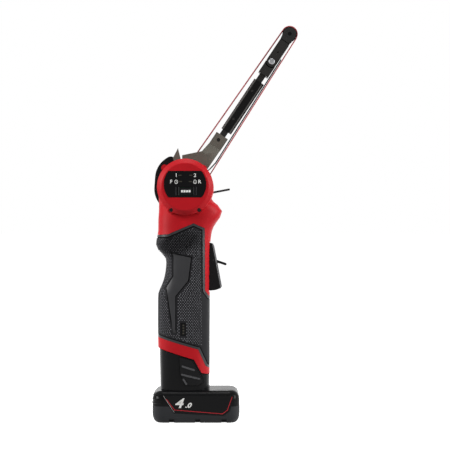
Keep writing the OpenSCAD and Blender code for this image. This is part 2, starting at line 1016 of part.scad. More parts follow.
module arm_channel() {
  color("black")
    at_arm()
      difference() {
        translate([0, 0, channel_start])
          linear_extrude(channel_end - channel_start)
            difference() {
              soft_rectangle([-5, belt_mid - 5.4], [7, belt_mid + 5.4], 2.4);
              translate([-3.6, belt_mid - 3.8])
                square([7.6, 7.6]);
            }
        bar(rail_rivet, 1.25, 0, 80);
        bar(rod_pin, 1.25, 0, 80);
      }
}

module channel_rivets() {
  color("dimgray")
    at_arm() {
      for (place = [rail_rivet, rod_pin])
        bar(place, 1.2, belt_mid - 5.6, belt_mid + 5.6);
      bar(bracket_rivet, 1.85, arm_floor - 0.7, belt_mid + 3.4);
    }
}

module tension_spring() {
  color("silver")
    at_arm()
      translate([0.2, belt_mid, rail_end + 0.2])
        coil(2.4, 0.45, spring_turns, rod_start - rail_end - 0.4);
}

module platen() {
  color("dimgray")
    at_arm() {
      slab(belt_near + 0.3, belt_far - 0.3)
        strip([
          [5.6, 21.5], [8.7, 30], [belt_inside(39.5) - 1.1, 39.5],
          [belt_inside(centres - 27.6) - 1.05, centres - 27.6]
        ], 1);
      block([5, bracket_far, guard_cut + 1], [6.2, belt_near + 1, 24.5]);
    }
}

module belt_path(swell) {
  hull() {
    circle(drive_mid + swell, $fn = 80);
    translate([0, centres])
      circle(idler_mid + swell, $fn = 80);
  }
}

module sanding_belt() {
  color("indianred")
    at_arm()
      slab(belt_near, belt_far)
        difference() {
          belt_path(belt_thickness / 2);
          belt_path(-belt_thickness / 2);
        }
}

module guard_lobe_shape() {
  hull()
    for (lobe = guard_lobes)
      translate(lobe[0])
        circle(lobe[1]);
}

module guard_outline() {
  offset(guard_corner)
    offset(delta = -guard_corner)
      intersection() {
        guard_lobe_shape();
        translate([-100, -100 + guard_cut])
          square([200, 100]);
      }
}

module belt_guard() {
  color("black")
    at_arm()
      difference() {
        union() {
          difference() {
            slab(bracket_far, guard_far)
              guard_outline();
            slab(bracket_far + 2, guard_far + 1)
              offset(delta = -guard_wall)
                guard_lobe_shape();
          }
          bar(cover_screw_place, 4, bracket_far + 1, guard_far);
        }
        bar([0, 0], guard_bore, bracket_far - 1, collar_end + 3.6);
        bar(cover_screw_place, 2.05, guard_far - 14, guard_far + 1);
        for (place = guard_screw_places)
          bar(place, 1.15, bracket_far - 1, bracket_far + 3);
      }
}

module guard_screws() {
  color("silver")
    at_arm()
      for (place = guard_screw_places) {
        bar(place, 1.1, bracket_near + 0.2, bracket_far + 2.1);
        bar(place, 2, bracket_far + 2, bracket_far + 3.2);
      }
}

module spark_deflector() {
  foot = guard_radius + 0.15;
  start = guard_middle + (foot + 0.9) * [cos(5), sin(5)];
  color("black")
    at_arm()
      slab(collar_end + 4, guard_far - 0.5) {
        translate(guard_middle)
          intersection() {
            difference() {
              circle(foot + 1.6);
              circle(foot);
            }
            polygon([[0, 0], 60 * [cos(-6), sin(-6)], 60 * [cos(10), sin(10)]]);
          }
        strip([start, flap_start, flap_end], 1.8);
      }
}

module belt_cover() {
  color("black")
    at_arm()
      difference() {
        union() {
          slab(guard_far, cover_far)
            guard_outline();
          bar([0, 0], 13, cover_far - 0.5, cover_far + 1);
        }
        bar(cover_screw_place, 2.15, guard_far - 1, cover_far + 2);
        bar([0, 0], 9, cover_far, cover_far + 2);
      }
}

module cover_thumbscrew() {
  color("dimgray")
    at_arm()
      difference() {
        union() {
          bar(cover_screw_place, 2, guard_far - 10, cover_far + 1);
          bar(cover_screw_place, 6, cover_far + 0.1, cover_far + 5);
        }
        for (turn = [0:30:359])
          bar(cover_screw_place + 6.3 * [cos(turn), sin(turn)], 0.9, cover_far, cover_far + 6);
      }
}

// Sprung tip

module tip_rod() {
  color("darkslategray")
    at_arm()
      difference() {
        block([-3.2, belt_mid - 3.4, rod_start], [3.6, belt_mid + 3.4, socket_end + 6]);
        block(
          [rod_pin[0] - 1.4, belt_mid - 20, rod_pin[1] - 1.6],
          [rod_pin[0] + 1.4, belt_mid + 20, rod_pin[1] + 1.6 + tip_travel]
        );
      }
}

module tip_socket() {
  low = belt_near - 1.5;
  high = belt_far + 1.5;
  color("dimgray")
    at_arm()
      difference() {
        union() {
          block([-tip_back, low, socket_end], [tip_front, high, fork_pivot[1] - 2]);
          block(
            [-tip_back + 0.4, belt_mid - 4, fork_pivot[1] - 3],
            [tip_front - 0.4, belt_mid + 4, fork_pivot[1] + 5.6]
          );
        }
        bar(fork_pivot, 5.9, low - 1, belt_mid - 4);
        bar(fork_pivot, 5.9, belt_mid + 4, high + 1);
        block([-3.25, belt_mid - 3.45, socket_end - 1], [3.65, belt_mid + 3.45, socket_end + 6.05]);
        bar(fork_pivot, 1.75, low - 1, high + 1);
      }
}

module tip_fork() {
  near = belt_near - 2;
  far = belt_far + 2;
  color("black")
    at_arm()
      difference() {
        union() {
          block([-tip_back, near, fork_pivot[1]], [tip_front - 0.2, far, fork_end]);
          bar(fork_pivot, 5.6, near, far);
          bar([0, centres], 3.6, near + 0.3, near + 1);
          for (y = [near + 0.8, far - 2.7])
            slab(y, y + 1.9)
              hull() {
                translate([0, centres])
                  circle(idler_radius - 0.6);
                translate([-4.6, fork_end - 3])
                  square([9.2, 1]);
              }
        }
        block([-9, belt_mid - 4.2, fork_pivot[1] - 8], [9, belt_mid + 4.2, fork_pivot[1] + 6]);
        bar(fork_pivot, 1.75, near - 1, far + 1);
        bar(fork_pivot + [0, 11.8], 0.9, near - 1, near + 4);
        bar([0, centres], 2.02, near - 1, far + 1);
      }
}

module tip_screw() {
  near = belt_near - 2;
  color("silver")
    at_arm() {
      bar(fork_pivot, 1.7, near - 0.2, belt_far);
      translate([fork_pivot[0], near, fork_pivot[1]])
        rotate([90, 0, 0])
          rotate_extrude()
            polygon([[0, 0], [3.3, 0], [3.3, 0.7], [2.6, 1.4], [0, 1.6]]);
    }
}

module idler_axle() {
  color("silver")
    at_arm()
      bar([0, centres], 2, belt_near - 1.4, belt_far + 1.4);
}

module idler_pulley() {
  low = belt_near + 1.1;
  high = belt_far - 1.1;
  color("black")
    at_arm()
      translate([0, 0, centres])
        rotate([-90, 0, 0])
          rotate_extrude()
            polygon([
              [2 + run_gap, low],
              [idler_radius - 0.2, low],
              [idler_radius, low + belt_width * 0.3],
              [idler_radius, high - belt_width * 0.3],
              [idler_radius - 0.2, high],
              [2 + run_gap, high]
            ]);
}

// Battery

module foot_cells(gap) {
  for (y = [-cell_pitch, 0, cell_pitch])
    translate([foot_middle - cell_length / 2 - gap, y, foot_split])
      rotate([0, 90, 0])
        cylinder(r = cell_radius + gap, h = cell_length + 2 * gap);
}

module battery_base() {
  color("darkslategray")
    difference() {
      loft([
        foot_ring(0, 5), foot_ring(1, 3.2), foot_ring(3, 1.5), foot_ring(6, 0.5),
        foot_ring(10, 0), foot_ring(foot_split, 0)
      ]);
      foot_cells(seat_gap);
      for (x = [-24.6, 1.7, 28.5], side = [-1, 1])
        translate([foot_middle + x, side * foot_width / 2, 0])
          cube([5.3, 18, 8], center = true);
      for (place = battery_screw_places)
        translate([place[0], place[1], -1]) {
          cylinder(r = 3, h = 5);
          cylinder(r = 1.6, h = 30);
        }
    }
}

module battery_case() {
  color("black")
    difference() {
      union() {
        loft(concat(
          [foot_ring(foot_split, 0)],
          [for (step = shoulder) foot_ring(foot_height - step[0], step[1])]
        ));
        intersection() {
          for (rib = heel_ribs)
            loft([
              foot_ring(rib[0] - 1.5, rib[1] + 1.4),
              foot_ring(rib[0], rib[1]),
              foot_ring(rib[0] + 1.5, rib[1] + 1.4)
            ]);
          block([-60, -60, 0], [heel_rib_reach - foot_heel - grip_back, 60, foot_height]);
        }
        intersection() {
          neck_whole(0, foot_height - 4, shell_edge + 32);
          slab(-60, 60)
            difference() {
              translate([-60, 0])
                square([140, 200]);
              shell_region(0.7);
            }
        }
        stem_shape(0, foot_height - 2, stem_top);
      }
      foot_cells(seat_gap);
      for (place = stem_cell_places)
        translate([place[0], place[1], foot_split + 3])
          cylinder(r = cell_radius + seat_gap, h = stem_cell_base + cell_length + 0.2 - foot_split - 3);
      for (place = battery_screw_places)
        translate([place[0], place[1], foot_split - 1])
          cylinder(r = 1.35, h = 9);
      difference() {
        slab(-60, 60)
          offset(delta = move_gap)
            polygon(latch_line);
        neck_whole(1.9 + latch_travel, shell_edge - 20, shell_edge + 30);
      }
    }
}

module battery_cells() {
  color("steelblue") {
    foot_cells(0);
    for (place = stem_cell_places)
      translate([place[0], place[1], stem_cell_base])
        cylinder(r = cell_radius, h = cell_length);
  }
}

module battery_contacts() {
  color("gold")
    for (y = [-6, 6])
      block([stem_x - 3.5, y - 0.4, stem_top], [stem_x + 3.5, y + 0.4, stem_top + 4.5]);
}

module battery_screws() {
  color("silver")
    for (place = battery_screw_places)
      translate([place[0], place[1], 4]) {
        cylinder(r = 1.3, h = foot_split + 3);
        translate([0, 0, -1.4])
          cylinder(r = 2.7, h = 1.4);
      }
}

module latch() {
  difference() {
    union() {
      intersection() {
        neck_whole(-0.8, shell_edge - 13, shell_edge + 22);
        slab(0, 60)
          polygon(latch_line);
      }
      intersection() {
        neck_whole(-1.7, shell_edge - 13, shell_edge + 22);
        slab(0, 60)
          for (ridge = latch_ridges)
            strip(ridge, 1.8);
      }
    }
    neck_whole(1.6, shell_edge - 15, shell_edge + 25);
  }
}

module latch_left() {
  color("black")
    latch();
}

module latch_right() {
  color("black")
    mirror([0, 1, 0])
      latch();
}

housing_right();
housing_left();
grip_right();
grip_left();
motor_cap();
cap_screws();
control_panel();
indicator_lenses();
panel_board();
mode_button();
motor_stator();
rear_bearing();
front_bearing();
front_plate();
arm_retaining_ring();
retaining_screws();
control_module();
trigger_switch();
switch_plunger();
terminal_block();
power_leads();
trigger_pin();
housing_screws();
fuel_gauge();
motor_rotor();
motor_shaft();
cooling_fan();
drive_pulley();
pulley_nut();
arm_bracket();
arm_rail();
arm_channel();
channel_rivets();
tension_spring();
platen();
sanding_belt();
belt_guard();
guard_screws();
spark_deflector();
belt_cover();
cover_thumbscrew();
tip_rod();
tip_socket();
tip_fork();
tip_screw();
idler_axle();
idler_pulley();
trigger();
lock_lever_pin();
lock_lever();
battery_base();
battery_case();
battery_cells();
battery_contacts();
battery_screws();
latch_right();
latch_left();
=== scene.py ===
"""Cordless belt file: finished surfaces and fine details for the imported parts, on a pale floor."""
import json
import math

import bmesh
import bpy
from bpy.props import FloatProperty, FloatVectorProperty, PointerProperty
from bpy.types import Operator, Panel, PropertyGroup
from mathutils import Matrix, Vector
from mathutils.bvhtree import BVHTree


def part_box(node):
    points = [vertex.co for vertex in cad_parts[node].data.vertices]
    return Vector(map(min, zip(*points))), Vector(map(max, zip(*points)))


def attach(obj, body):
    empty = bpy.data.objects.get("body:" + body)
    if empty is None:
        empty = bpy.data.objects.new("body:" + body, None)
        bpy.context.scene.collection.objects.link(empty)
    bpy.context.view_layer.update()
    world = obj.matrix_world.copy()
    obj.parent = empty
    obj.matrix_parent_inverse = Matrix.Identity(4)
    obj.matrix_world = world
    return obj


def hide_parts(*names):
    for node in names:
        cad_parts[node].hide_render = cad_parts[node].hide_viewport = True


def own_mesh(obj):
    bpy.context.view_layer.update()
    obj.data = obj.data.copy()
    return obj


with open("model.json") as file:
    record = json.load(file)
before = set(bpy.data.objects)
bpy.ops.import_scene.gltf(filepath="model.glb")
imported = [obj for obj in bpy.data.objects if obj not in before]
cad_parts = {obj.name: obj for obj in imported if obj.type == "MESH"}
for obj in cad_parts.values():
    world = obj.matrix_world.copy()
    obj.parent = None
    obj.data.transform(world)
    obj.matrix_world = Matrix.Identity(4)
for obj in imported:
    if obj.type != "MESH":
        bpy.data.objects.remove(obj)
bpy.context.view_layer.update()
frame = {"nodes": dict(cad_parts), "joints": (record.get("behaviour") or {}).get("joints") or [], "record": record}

bl_info = {
    "name": "Belt file",
    "version": (1, 0, 0),
    "blender": (4, 5, 0),
    "location": "3D View > Sidebar > Belt file",
    "description": "Dresses the packed parts of a cordless belt file and sets up its studio",
    "category": "Object",
}

MM = 0.001
JOINTS = {joint["name"]: joint for joint in frame["joints"]}
SLOT_OF_NODE = {part["node"]: part["material_slot"] for part in frame["record"]["subparts"]}


def linear(hex_colour):
    """Scene-linear RGB of an sRGB hex colour."""
    parts = [int(hex_colour[i:i + 2], 16) / 255 for i in (1, 3, 5)]
    return tuple(c / 12.92 if c <= 0.04045 else ((c + 0.055) / 1.055) ** 2.4 for c in parts)


def colour(name, description, hex_colour):
    """Colour property with an sRGB hex default."""
    return FloatVectorProperty(
        name=name, description=description, subtype="COLOR", size=3, min=0, max=1,
        default=linear(hex_colour),
    )


def length(name, description, millimetres):
    """Length property with a default in millimetres."""
    return FloatProperty(
        name=name, description=description, unit="LENGTH", min=0, precision=5,
        default=millimetres * MM,
    )


class BeltFileColours(PropertyGroup):
    """Colours of the finishes"""

    red_plastic: colour("Red plastic", "Housing halves, motor cap and lower band", "#b4161f")
    grip_rubber: colour("Grip rubber", "Moulded cover of the grip", "#2a2a2c")
    palm_rubber: colour("Palm rubber", "Rim and plain palm panel, worn smooth", "#2d2d2f")
    black_plastic: colour("Black plastic", "Trigger, guard, latches and button", "#131314")
    gloss_black: colour("Gloss black", "Battery case and control panel", "#0d0d0e")
    tray_plastic: colour("Tray plastic", "Battery tray", "#28292b")
    bracket_steel: colour("Bracket steel", "Stamped bracket of the arm", "#57544d")
    black_steel: colour("Blackened steel", "Rail and sprung tip", "#1e1d1c")
    abrasive: colour("Abrasive", "Grit side of the belt", "#a8484c")
    belt_back: colour("Belt backing", "Cloth side of the belt", "#2a2526")
    rubber_worn: colour("Worn rubber", "Studs, rubbed by the hand", "#7c7c80")
    nylon_worn: colour("Worn nylon", "Ridges and edges that fingers have rubbed", "#444446")
    steel_rubbed: colour("Rubbed steel", "Channel corners, where the black is thin", "#454442")
    print_white: colour("Print white", "Marks on the panel and the battery", "#e9e9e6")
    print_red: colour("Print red", "Line on the battery", "#b3262f")


class BeltFileSizes(PropertyGroup):
    """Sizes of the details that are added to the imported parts"""

    stud_pitch: length("Stud pitch", "Distance between studs in one row on the rubber", 2.5)
    stud_rise: length("Stud rise", "Height of a stud above the rubber", 0.45)
    stud_margin: length("Stud margin", "Plain rubber left around grooves and edges", 1.25)
    mark_height: length("Mark height", "Height of the figures on the control panel", 3.5)
    print_rise: length("Print rise", "Thickness of printed marks", 0.06)
    label_rise: length("Label rise", "How far the battery's front plate stands out", 0.25)
    stripe_width: length("Stripe width", "Width of the line on the battery", 0.62)


# Places in the frame


def drive_axis():
    """Middle of the drive pulley, where the arm begins."""
    return Vector(JOINTS["rotor_spin"]["pos_m"])


def arm_axis():
    """Direction along the arm, in which the tip slides."""
    return Vector(JOINTS["tip_slide"]["axis"]).normalized()


def arm_lean():
    """Angle of the arm from upright towards +X."""
    along = arm_axis()
    return math.atan2(along.x, along.z)


def arm_side():
    """Direction across the arm, towards the working run of the belt."""
    return Vector((math.cos(arm_lean()), 0, -math.sin(arm_lean())))


def arm_reach():
    """Distance along the arm from the drive axis to the idler's axis."""
    return (Vector(JOINTS["idler_spin"]["pos_m"]) - drive_axis()).dot(arm_axis())


def arm_point(across, along):
    """[x, z] place of a point across and along the arm, both measured from the drive axis."""
    point = drive_axis() + arm_side() * across + arm_axis() * along
    return point.x, point.z


def box_middle(node):
    """Middle of a node's box."""
    low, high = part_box(node)
    return (Vector(low) + Vector(high)) / 2


def body_of_node(node):
    """Name of the body that carries a node."""
    bodies = frame["record"]["behaviour"]["bodies"]
    return next(name for name, nodes in bodies.items() if node in nodes)


# Nodes and materials


def add(tree, kind, inputs=(), **settings):
    """Adds one node: sets its settings, then sets or links its inputs."""
    node = tree.nodes.new(kind)
    for name, value in settings.items():
        setattr(node, name, value)
    for socket, value in dict(inputs).items():
        if isinstance(value, bpy.types.NodeSocket):
            tree.links.new(value, node.inputs[socket])
        else:
            node.inputs[socket].default_value = value
    return node


def start_material(name, **numbers):
    """New material with uniform numbers on its shader's own sockets, and Object coordinates."""
    material = bpy.data.materials.new(name)
    material.use_nodes = True
    tree = material.node_tree
    shader = tree.nodes["Principled BSDF"]
    for socket, value in numbers.items():
        shader.inputs[socket.replace("_", " ")].default_value = value
    place = add(tree, "ShaderNodeTexCoord").outputs["Object"]
    return material, tree, shader, place


def link_shader(tree, shader, **results):
    """Links the results of a material's nodes to its shader."""
    for socket, result in results.items():
        tree.links.new(result, shader.inputs[socket.replace("_", " ")])


def tint(rgb, factor):
    """Colour made lighter or darker by a factor, with full alpha."""
    return tuple(min(1, c * factor) for c in rgb) + (1,)


# Painted shade in the hollow under the head where the thumb rests: middle and half sizes in millimetres, lean in
# degrees, where the painted shade is full, and its tone
THUMB_MIDDLE = (-7, 0, 182)
THUMB_HALF = (32, 500, 15)
THUMB_LEAN = -18
THUMB_FULL = 0.55
THUMB_SHADE = 0.35

# How far the roughness varies to either side
MOULDED_GLOSS = 0.05
BRUSHED_GLOSS = 0.12


def thumb_hollow_shade(tree, place):
    """Mask of painted shade: 1 in the hollow under the head, fading to 0 around it."""
    local = add(
        tree, "ShaderNodeMapping",
        {"Vector": place, "Location": [c * MM for c in THUMB_MIDDLE],
         "Scale": [c * MM for c in THUMB_HALF], "Rotation": (0, math.radians(THUMB_LEAN), 0)},
        vector_type="TEXTURE",
    ).outputs["Vector"]
    patch = add(
        tree, "ShaderNodeTexGradient", {"Vector": local}, gradient_type="SPHERICAL"
    ).outputs["Fac"]
    return add(
        tree, "ShaderNodeMapRange", {"Value": patch, "From Max": THUMB_FULL},
        interpolation_type="SMOOTHSTEP",
    ).outputs["Result"]


def moulded(name, rgb, roughness, mottle, grain, depth, specular=0.2, spread=0.12, hollow_shaded=False):
    """Moulded polymer: faint flow mottling in tone and gloss over the grain of the mould's steel. With
    hollow_shaded, painted shade darkens the hollow under the head.

    Widths and depths are in millimetres. The grain is drawn coarser than a real one, which would
    be too fine to show.
    """
    material, tree, shader, place = start_material(name, Specular_IOR_Level=specular)
    flow = add(
        tree, "ShaderNodeTexNoise", {"Vector": place, "Scale": 1 / (mottle * MM), "Detail": 3}
    ).outputs["Fac"]
    tone = add(
        tree, "ShaderNodeMix", {0: flow, 6: tint(rgb, 1 - spread), 7: tint(rgb, 1 + spread)},
        data_type="RGBA",
    ).outputs[2]
    # Painted shade: the rubber is darkened in the hollow under the head
    if hollow_shaded:
        tone = add(
            tree, "ShaderNodeMix",
            {0: thumb_hollow_shade(tree, place), 6: tone, 7: tint(rgb, THUMB_SHADE)}, data_type="RGBA",
        ).outputs[2]
    smooth, rough = roughness - MOULDED_GLOSS, roughness + MOULDED_GLOSS
    gloss = add(
        tree, "ShaderNodeMapRange", {"Value": flow, "To Min": smooth, "To Max": rough}
    ).outputs["Result"]
    height = add(
        tree, "ShaderNodeTexNoise", {"Vector": place, "Scale": 1 / (grain * MM), "Detail": 2}
    ).outputs["Fac"]
    bump = add(
        tree, "ShaderNodeBump", {"Height": height, "Strength": 0.5, "Distance": depth * MM}
    ).outputs["Normal"]
    link_shader(tree, shader, Base_Color=tone, Roughness=gloss, Normal=bump)
    return material


def brushed(
    name, rgb, metallic, roughness, stroke, across, depth, patch=6, specular=0.5, spread=0.2
):
    """Finished metal: fine strokes of the finishing wheel along the arm, and patches of sheen.

    Sizes are in millimetres: length and width of a stroke, its depth, and width of a patch. The
    strokes are drawn wider than real ones, which would be too fine to show.
    """
    material, tree, shader, place = start_material(
        name, Metallic=metallic, Specular_IOR_Level=specular
    )
    wide, long = 1 / (across * MM), 1 / (stroke * MM)
    along = add(
        tree, "ShaderNodeMapping",
        {"Vector": place, "Scale": (wide, wide, long), "Rotation": (0, -arm_lean(), 0)},
    ).outputs["Vector"]
    strokes = add(
        tree, "ShaderNodeTexNoise", {"Vector": along, "Scale": 1, "Detail": 3}
    ).outputs["Fac"]
    patches = add(
        tree, "ShaderNodeTexNoise", {"Vector": place, "Scale": 1 / (patch * MM), "Detail": 4}
    ).outputs["Fac"]
    tone = add(
        tree, "ShaderNodeMix", {0: patches, 6: tint(rgb, 1 - spread), 7: tint(rgb, 1 + spread)},
        data_type="RGBA",
    ).outputs[2]
    smooth, rough = roughness - BRUSHED_GLOSS, roughness + BRUSHED_GLOSS
    gloss = add(
        tree, "ShaderNodeMapRange", {"Value": strokes, "To Min": smooth, "To Max": rough}
    ).outputs["Result"]
    bump = add(
        tree, "ShaderNodeBump", {"Height": strokes, "Strength": 0.4, "Distance": depth * MM}
    ).outputs["Normal"]
    link_shader(tree, shader, Base_Color=tone, Roughness=gloss, Normal=bump)
    return material


def gritted(name, rgb, roughness, specular, grain, blotch, depth, dark, light):
    """Bonded grit: grains that sparkle where they stand out, in blotches. Sizes in millimetres."""
    material, tree, shader, place = start_material(
        name, Specular_IOR_Level=specular, Roughness=roughness
    )
    grains = add(
        tree, "ShaderNodeTexVoronoi", {"Vector": place, "Scale": 1 / (grain * MM)}
    ).outputs["Distance"]
    blotches = add(
        tree, "ShaderNodeTexNoise", {"Vector": place, "Scale": 1 / (blotch * MM), "Detail": 3}
    ).outputs["Fac"]
    mixed = add(
        tree, "ShaderNodeMath", {0: grains, 1: blotches}, operation="MULTIPLY"
    ).outputs["Value"]
    tone = add(
        tree, "ShaderNodeMix", {0: mixed, 6: tint(rgb, dark), 7: tint(rgb, light)},
        data_type="RGBA",
    ).outputs[2]
    bump = add(
        tree, "ShaderNodeBump", {"Height": grains, "Strength": 0.8, "Distance": depth * MM},
        invert=True,
    ).outputs["Normal"]
    link_shader(tree, shader, Base_Color=tone, Normal=bump)
    return material


def woven(name, rgb, roughness, specular, thread, depth, dark, light):
    """Twill cloth, with the distance between threads and their depth in millimetres."""
    material, tree, shader, place = start_material(
        name, Specular_IOR_Level=specular, Roughness=roughness
    )
    twill = add(
        tree, "ShaderNodeTexWave",
        {"Vector": place, "Scale": 1 / (thread * MM) / math.tau, "Distortion": 0.4},
        bands_direction="DIAGONAL",
    ).outputs["Fac"]
    tone = add(
        tree, "ShaderNodeMix", {0: twill, 6: tint(rgb, dark), 7: tint(rgb, light)},
        data_type="RGBA",
    ).outputs[2]
    bump = add(
        tree, "ShaderNodeBump", {"Height": twill, "Strength": 0.4, "Distance": depth * MM}
    ).outputs["Normal"]
    link_shader(tree, shader, Base_Color=tone, Normal=bump)
    return material


# Finishes by slot or mark: how the surface is made, the material's name, its colour as a property
# or a hex value, and its numbers
FINISHES = {
    # Glass-filled nylon, moulded red against spark-eroded steel: wide soft highlights, faint grain
    "red_plastic": (moulded, "Moulded red nylon", "red_plastic", dict(
        roughness=0.48, mottle=16, grain=0.7, depth=0.03, specular=0.12)),
    # Thermoplastic rubber moulded over the housing: dull, slightly dusty, no sharp reflections, with painted shade
    # in the thumb hollow
    "grip_rubber": (moulded, "Overmoulded elastomer", "grip_rubber", dict(
        roughness=0.45, mottle=11, grain=0.6, depth=0.04, specular=0.03, hollow_shaded=True)),
    # The same rubber on the rim and in the palm, polished by the hand: a soft wide sheen, with painted shade in
    # the thumb hollow
    "palm_rubber": (moulded, "Palm-worn elastomer", "palm_rubber", dict(
        roughness=0.38, mottle=9, grain=0.9, depth=0.02, specular=0.19, hollow_shaded=True)),
    # The same rubber on the studs, made paler as a painted highlight on their tops, with hardly any sheen, and
    # with painted shade in the thumb hollow
    "worn_rubber": (moulded, "Hand-worn elastomer", "rubber_worn", dict(
        roughness=0.5, mottle=8, grain=0.6, depth=0.03, specular=0.03, hollow_shaded=True)),
    # Painted shade in narrow grooves and gaps, where little light reaches: dead black, no shine
    "groove_shade": (moulded, "Packed oily dust", "#050505", dict(
        roughness=0.8, mottle=3, grain=0.5, depth=0.03, specular=0.02)),
    # Glass-filled nylon, moulded black: a satin grain
    "black_plastic": (moulded, "Moulded black nylon", "black_plastic", dict(
        roughness=0.36, mottle=9, grain=0.5, depth=0.03, specular=0.07)),
    # Black nylon made grey as a painted highlight on the trigger's front, the latch ridges and the ribs by the
    # button, a little shiny
    "rubbed_nylon": (moulded, "Finger-worn nylon", "nylon_worn", dict(
        roughness=0.38, mottle=5, grain=0.5, depth=0.015)),
    # Polycarbonate blend from a polished mould: deep black with clear, slightly wavy reflections
    "gloss_black": (moulded, "Polished black polycarbonate", "gloss_black", dict(
        roughness=0.22, mottle=22, grain=6, depth=0.02, specular=0.06)),
    # Impact-modified nylon with a coarse leather grain, so the tray reads matt beside the case
    "tray_plastic": (moulded, "Textured tray nylon", "tray_plastic", dict(
        roughness=0.55, mottle=7, grain=0.8, depth=0.09, specular=0.12)),
    # Tinted lamp window: dark warm grey, clear gloss
    "lamp_lens": (moulded, "Smoked lamp window", "#39352c", dict(
        roughness=0.18, mottle=5, grain=3, depth=0.01)),
    # Circuit board under green solder resist: an even satin film
    "circuit_board": (moulded, "Solder resist", "#1d5a35", dict(
        roughness=0.35, mottle=4, grain=0.8, depth=0.03)),
    # Soft red insulation of the leads: dull and plain
    "lead_insulation": (moulded, "Lead insulation", "#a02a2a", dict(
        roughness=0.5, mottle=5, grain=0.8, depth=0.02)),
    # Shrink sleeve of a battery cell: blue, glossy, slightly wrinkled
    "cell_jacket": (moulded, "Shrink sleeve", "#3f7ba6", dict(
        roughness=0.3, mottle=6, grain=2.5, depth=0.05)),
    # Pad-printed inks: flat, a little uneven in cover
    "white_print": (moulded, "White pad print", "print_white", dict(
        roughness=0.55, mottle=1.5, grain=0.3, depth=0.005, spread=0.05)),
    "red_print": (moulded, "Red pad print", "print_red", dict(
        roughness=0.5, mottle=1.5, grain=0.3, depth=0.005, spread=0.06)),
    # Stamped sheet steel, tumbled and nickel plated: brown grey, half dull, faint drawing lines
    "bracket_steel": (brushed, "Tumbled nickel steel", "bracket_steel", dict(
        metallic=0.25, roughness=0.6, stroke=9, across=0.5, depth=0.02, patch=12, specular=0.15,
        spread=0.1)),
    # Machined steel under black oxide: near black with a thin oily sheen and tool strokes
    "blackened_steel": (brushed, "Black oxide steel", "black_steel", dict(
        metallic=0.35, roughness=0.42, stroke=6, across=0.4, depth=0.02, specular=0.22)),
    # Black oxide on the channel's flats and the idler: deep black with hardly any sheen
    "thick_oxide": (brushed, "Deep black oxide", "#0e0e0e", dict(
        metallic=0.1, roughness=0.5, stroke=6, across=0.4, depth=0.02, specular=0.06)),
    # Painted highlight on the channel's rounded corners: grey steel in the black oxide, along the strokes
    "rubbed_steel": (brushed, "Rubbed black oxide", "steel_rubbed", dict(
        metallic=0.4, roughness=0.4, stroke=12, across=0.4, depth=0.02, specular=0.25)),
    # Turned steel with bright zinc: a clean silver with fine turning lines
    "bright_steel": (brushed, "Bright zinc steel", "#808183", dict(
        metallic=1, roughness=0.38, stroke=1.2, across=0.3, depth=0.008)),
    # Die-cast aluminium as it leaves the die: pale grey, slightly cloudy
    "cast_aluminium": (brushed, "Die-cast aluminium", "#b4b5b6", dict(
        metallic=0.95, roughness=0.45, stroke=1.5, across=1.2, depth=0.03)),
    # Blued spring steel: dark blue grey and smooth
    "spring_steel": (brushed, "Blued spring steel", "#1f2023", dict(
        metallic=0.6, roughness=0.34, stroke=14, across=0.5, depth=0.01, specular=0.25)),
    # Varnished motor laminations: dark grey with the sheet edges as fine lines 0.5 mm apart
    "motor_iron": (brushed, "Varnished laminations", "#6a6a6c", dict(
        metallic=0.6, roughness=0.5, stroke=40, across=0.5, depth=0.06)),
    # Ground bearing steel: bright and nearly mirror smooth
    "bearing_steel": (brushed, "Ground bearing steel", "#cfd0d2", dict(
        metallic=1, roughness=0.2, stroke=0.8, across=0.3, depth=0.004)),
    # Stamped brass contacts: warm yellow with a light tarnish
    "contact_brass": (brushed, "Stamped brass", "#c9a557", dict(
        metallic=1, roughness=0.32, stroke=3, across=0.4, depth=0.01)),
    # Cloth belt with resin-bonded grit: dark red, sparkling where grains stand out
    "abrasive_cloth": (gritted, "Resin bonded grit", "abrasive", dict(
        roughness=0.7, specular=0.2, grain=0.35, blotch=5, depth=0.15, dark=0.8, light=1.5)),
    # Back of the belt, twill cotton stiffened with dark size: fine slanting threads, no shine
    "belt_back": (woven, "Sized twill cloth", "belt_back", dict(
        roughness=0.75, specular=0.15, thread=0.6, depth=0.1, dark=0.7, light=1.3)),
}
made_finishes = {}


def finish(name):
    """Material for a slot or a mark, made once."""
    if name not in made_finishes:
        make, title, tone, numbers = FINISHES[name]
        colours = bpy.context.scene.belt_file_colours
        rgb = linear(tone) if tone.startswith("#") else getattr(colours, tone)
        made_finishes[name] = make(title, rgb, **numbers)
    return made_finishes[name]


# Meshes and pieces

# Vertices this close are one, and so are faces that meet at less than this angle in degrees
MERGE = 0.002 * MM
FLAT_ANGLE = 0.05
# Angles in degrees above which an edge is rounded, and above which it stays crisp on a CAD node's
# piece and on a thin piece
ROUND_ABOVE = 40
CRISP_NODE = 38
CRISP_THIN = 30
# How deep a laid-on mark is rooted in what carries it
ROOT = 0.1 * MM
# Least cosine at a bend of a ribbon, so that a sharp mitre doesn't run out to a spike
MITRE_LEAST = 0.3
# Height of a figure as a share of the font's size
FIGURE_SHARE = 0.7


def shade(bm, angle):
    """Smooth shading, broken at edges sharper than an angle in degrees."""
    for face in bm.faces:
        face.smooth = True
    for edge in bm.edges:
        edge.smooth = edge.is_manifold and edge.calc_face_angle() < math.radians(angle)


def place_piece(bm, name, body, finishes, weighted=True):
    """Turns a bmesh into a piece that rides on a body."""
    mesh = bpy.data.meshes.new(name)
    bm.to_mesh(mesh)
    bm.free()
    for item in finishes:
        mesh.materials.append(finish(item))
    piece = bpy.data.objects.new(name, mesh)
    bpy.context.scene.collection.objects.link(piece)
    if weighted:
        modifier = piece.modifiers.new("Even shading", "WEIGHTED_NORMAL")
        modifier.keep_sharp = True
        modifier.weight = 80
    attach(piece, body)
    return piece


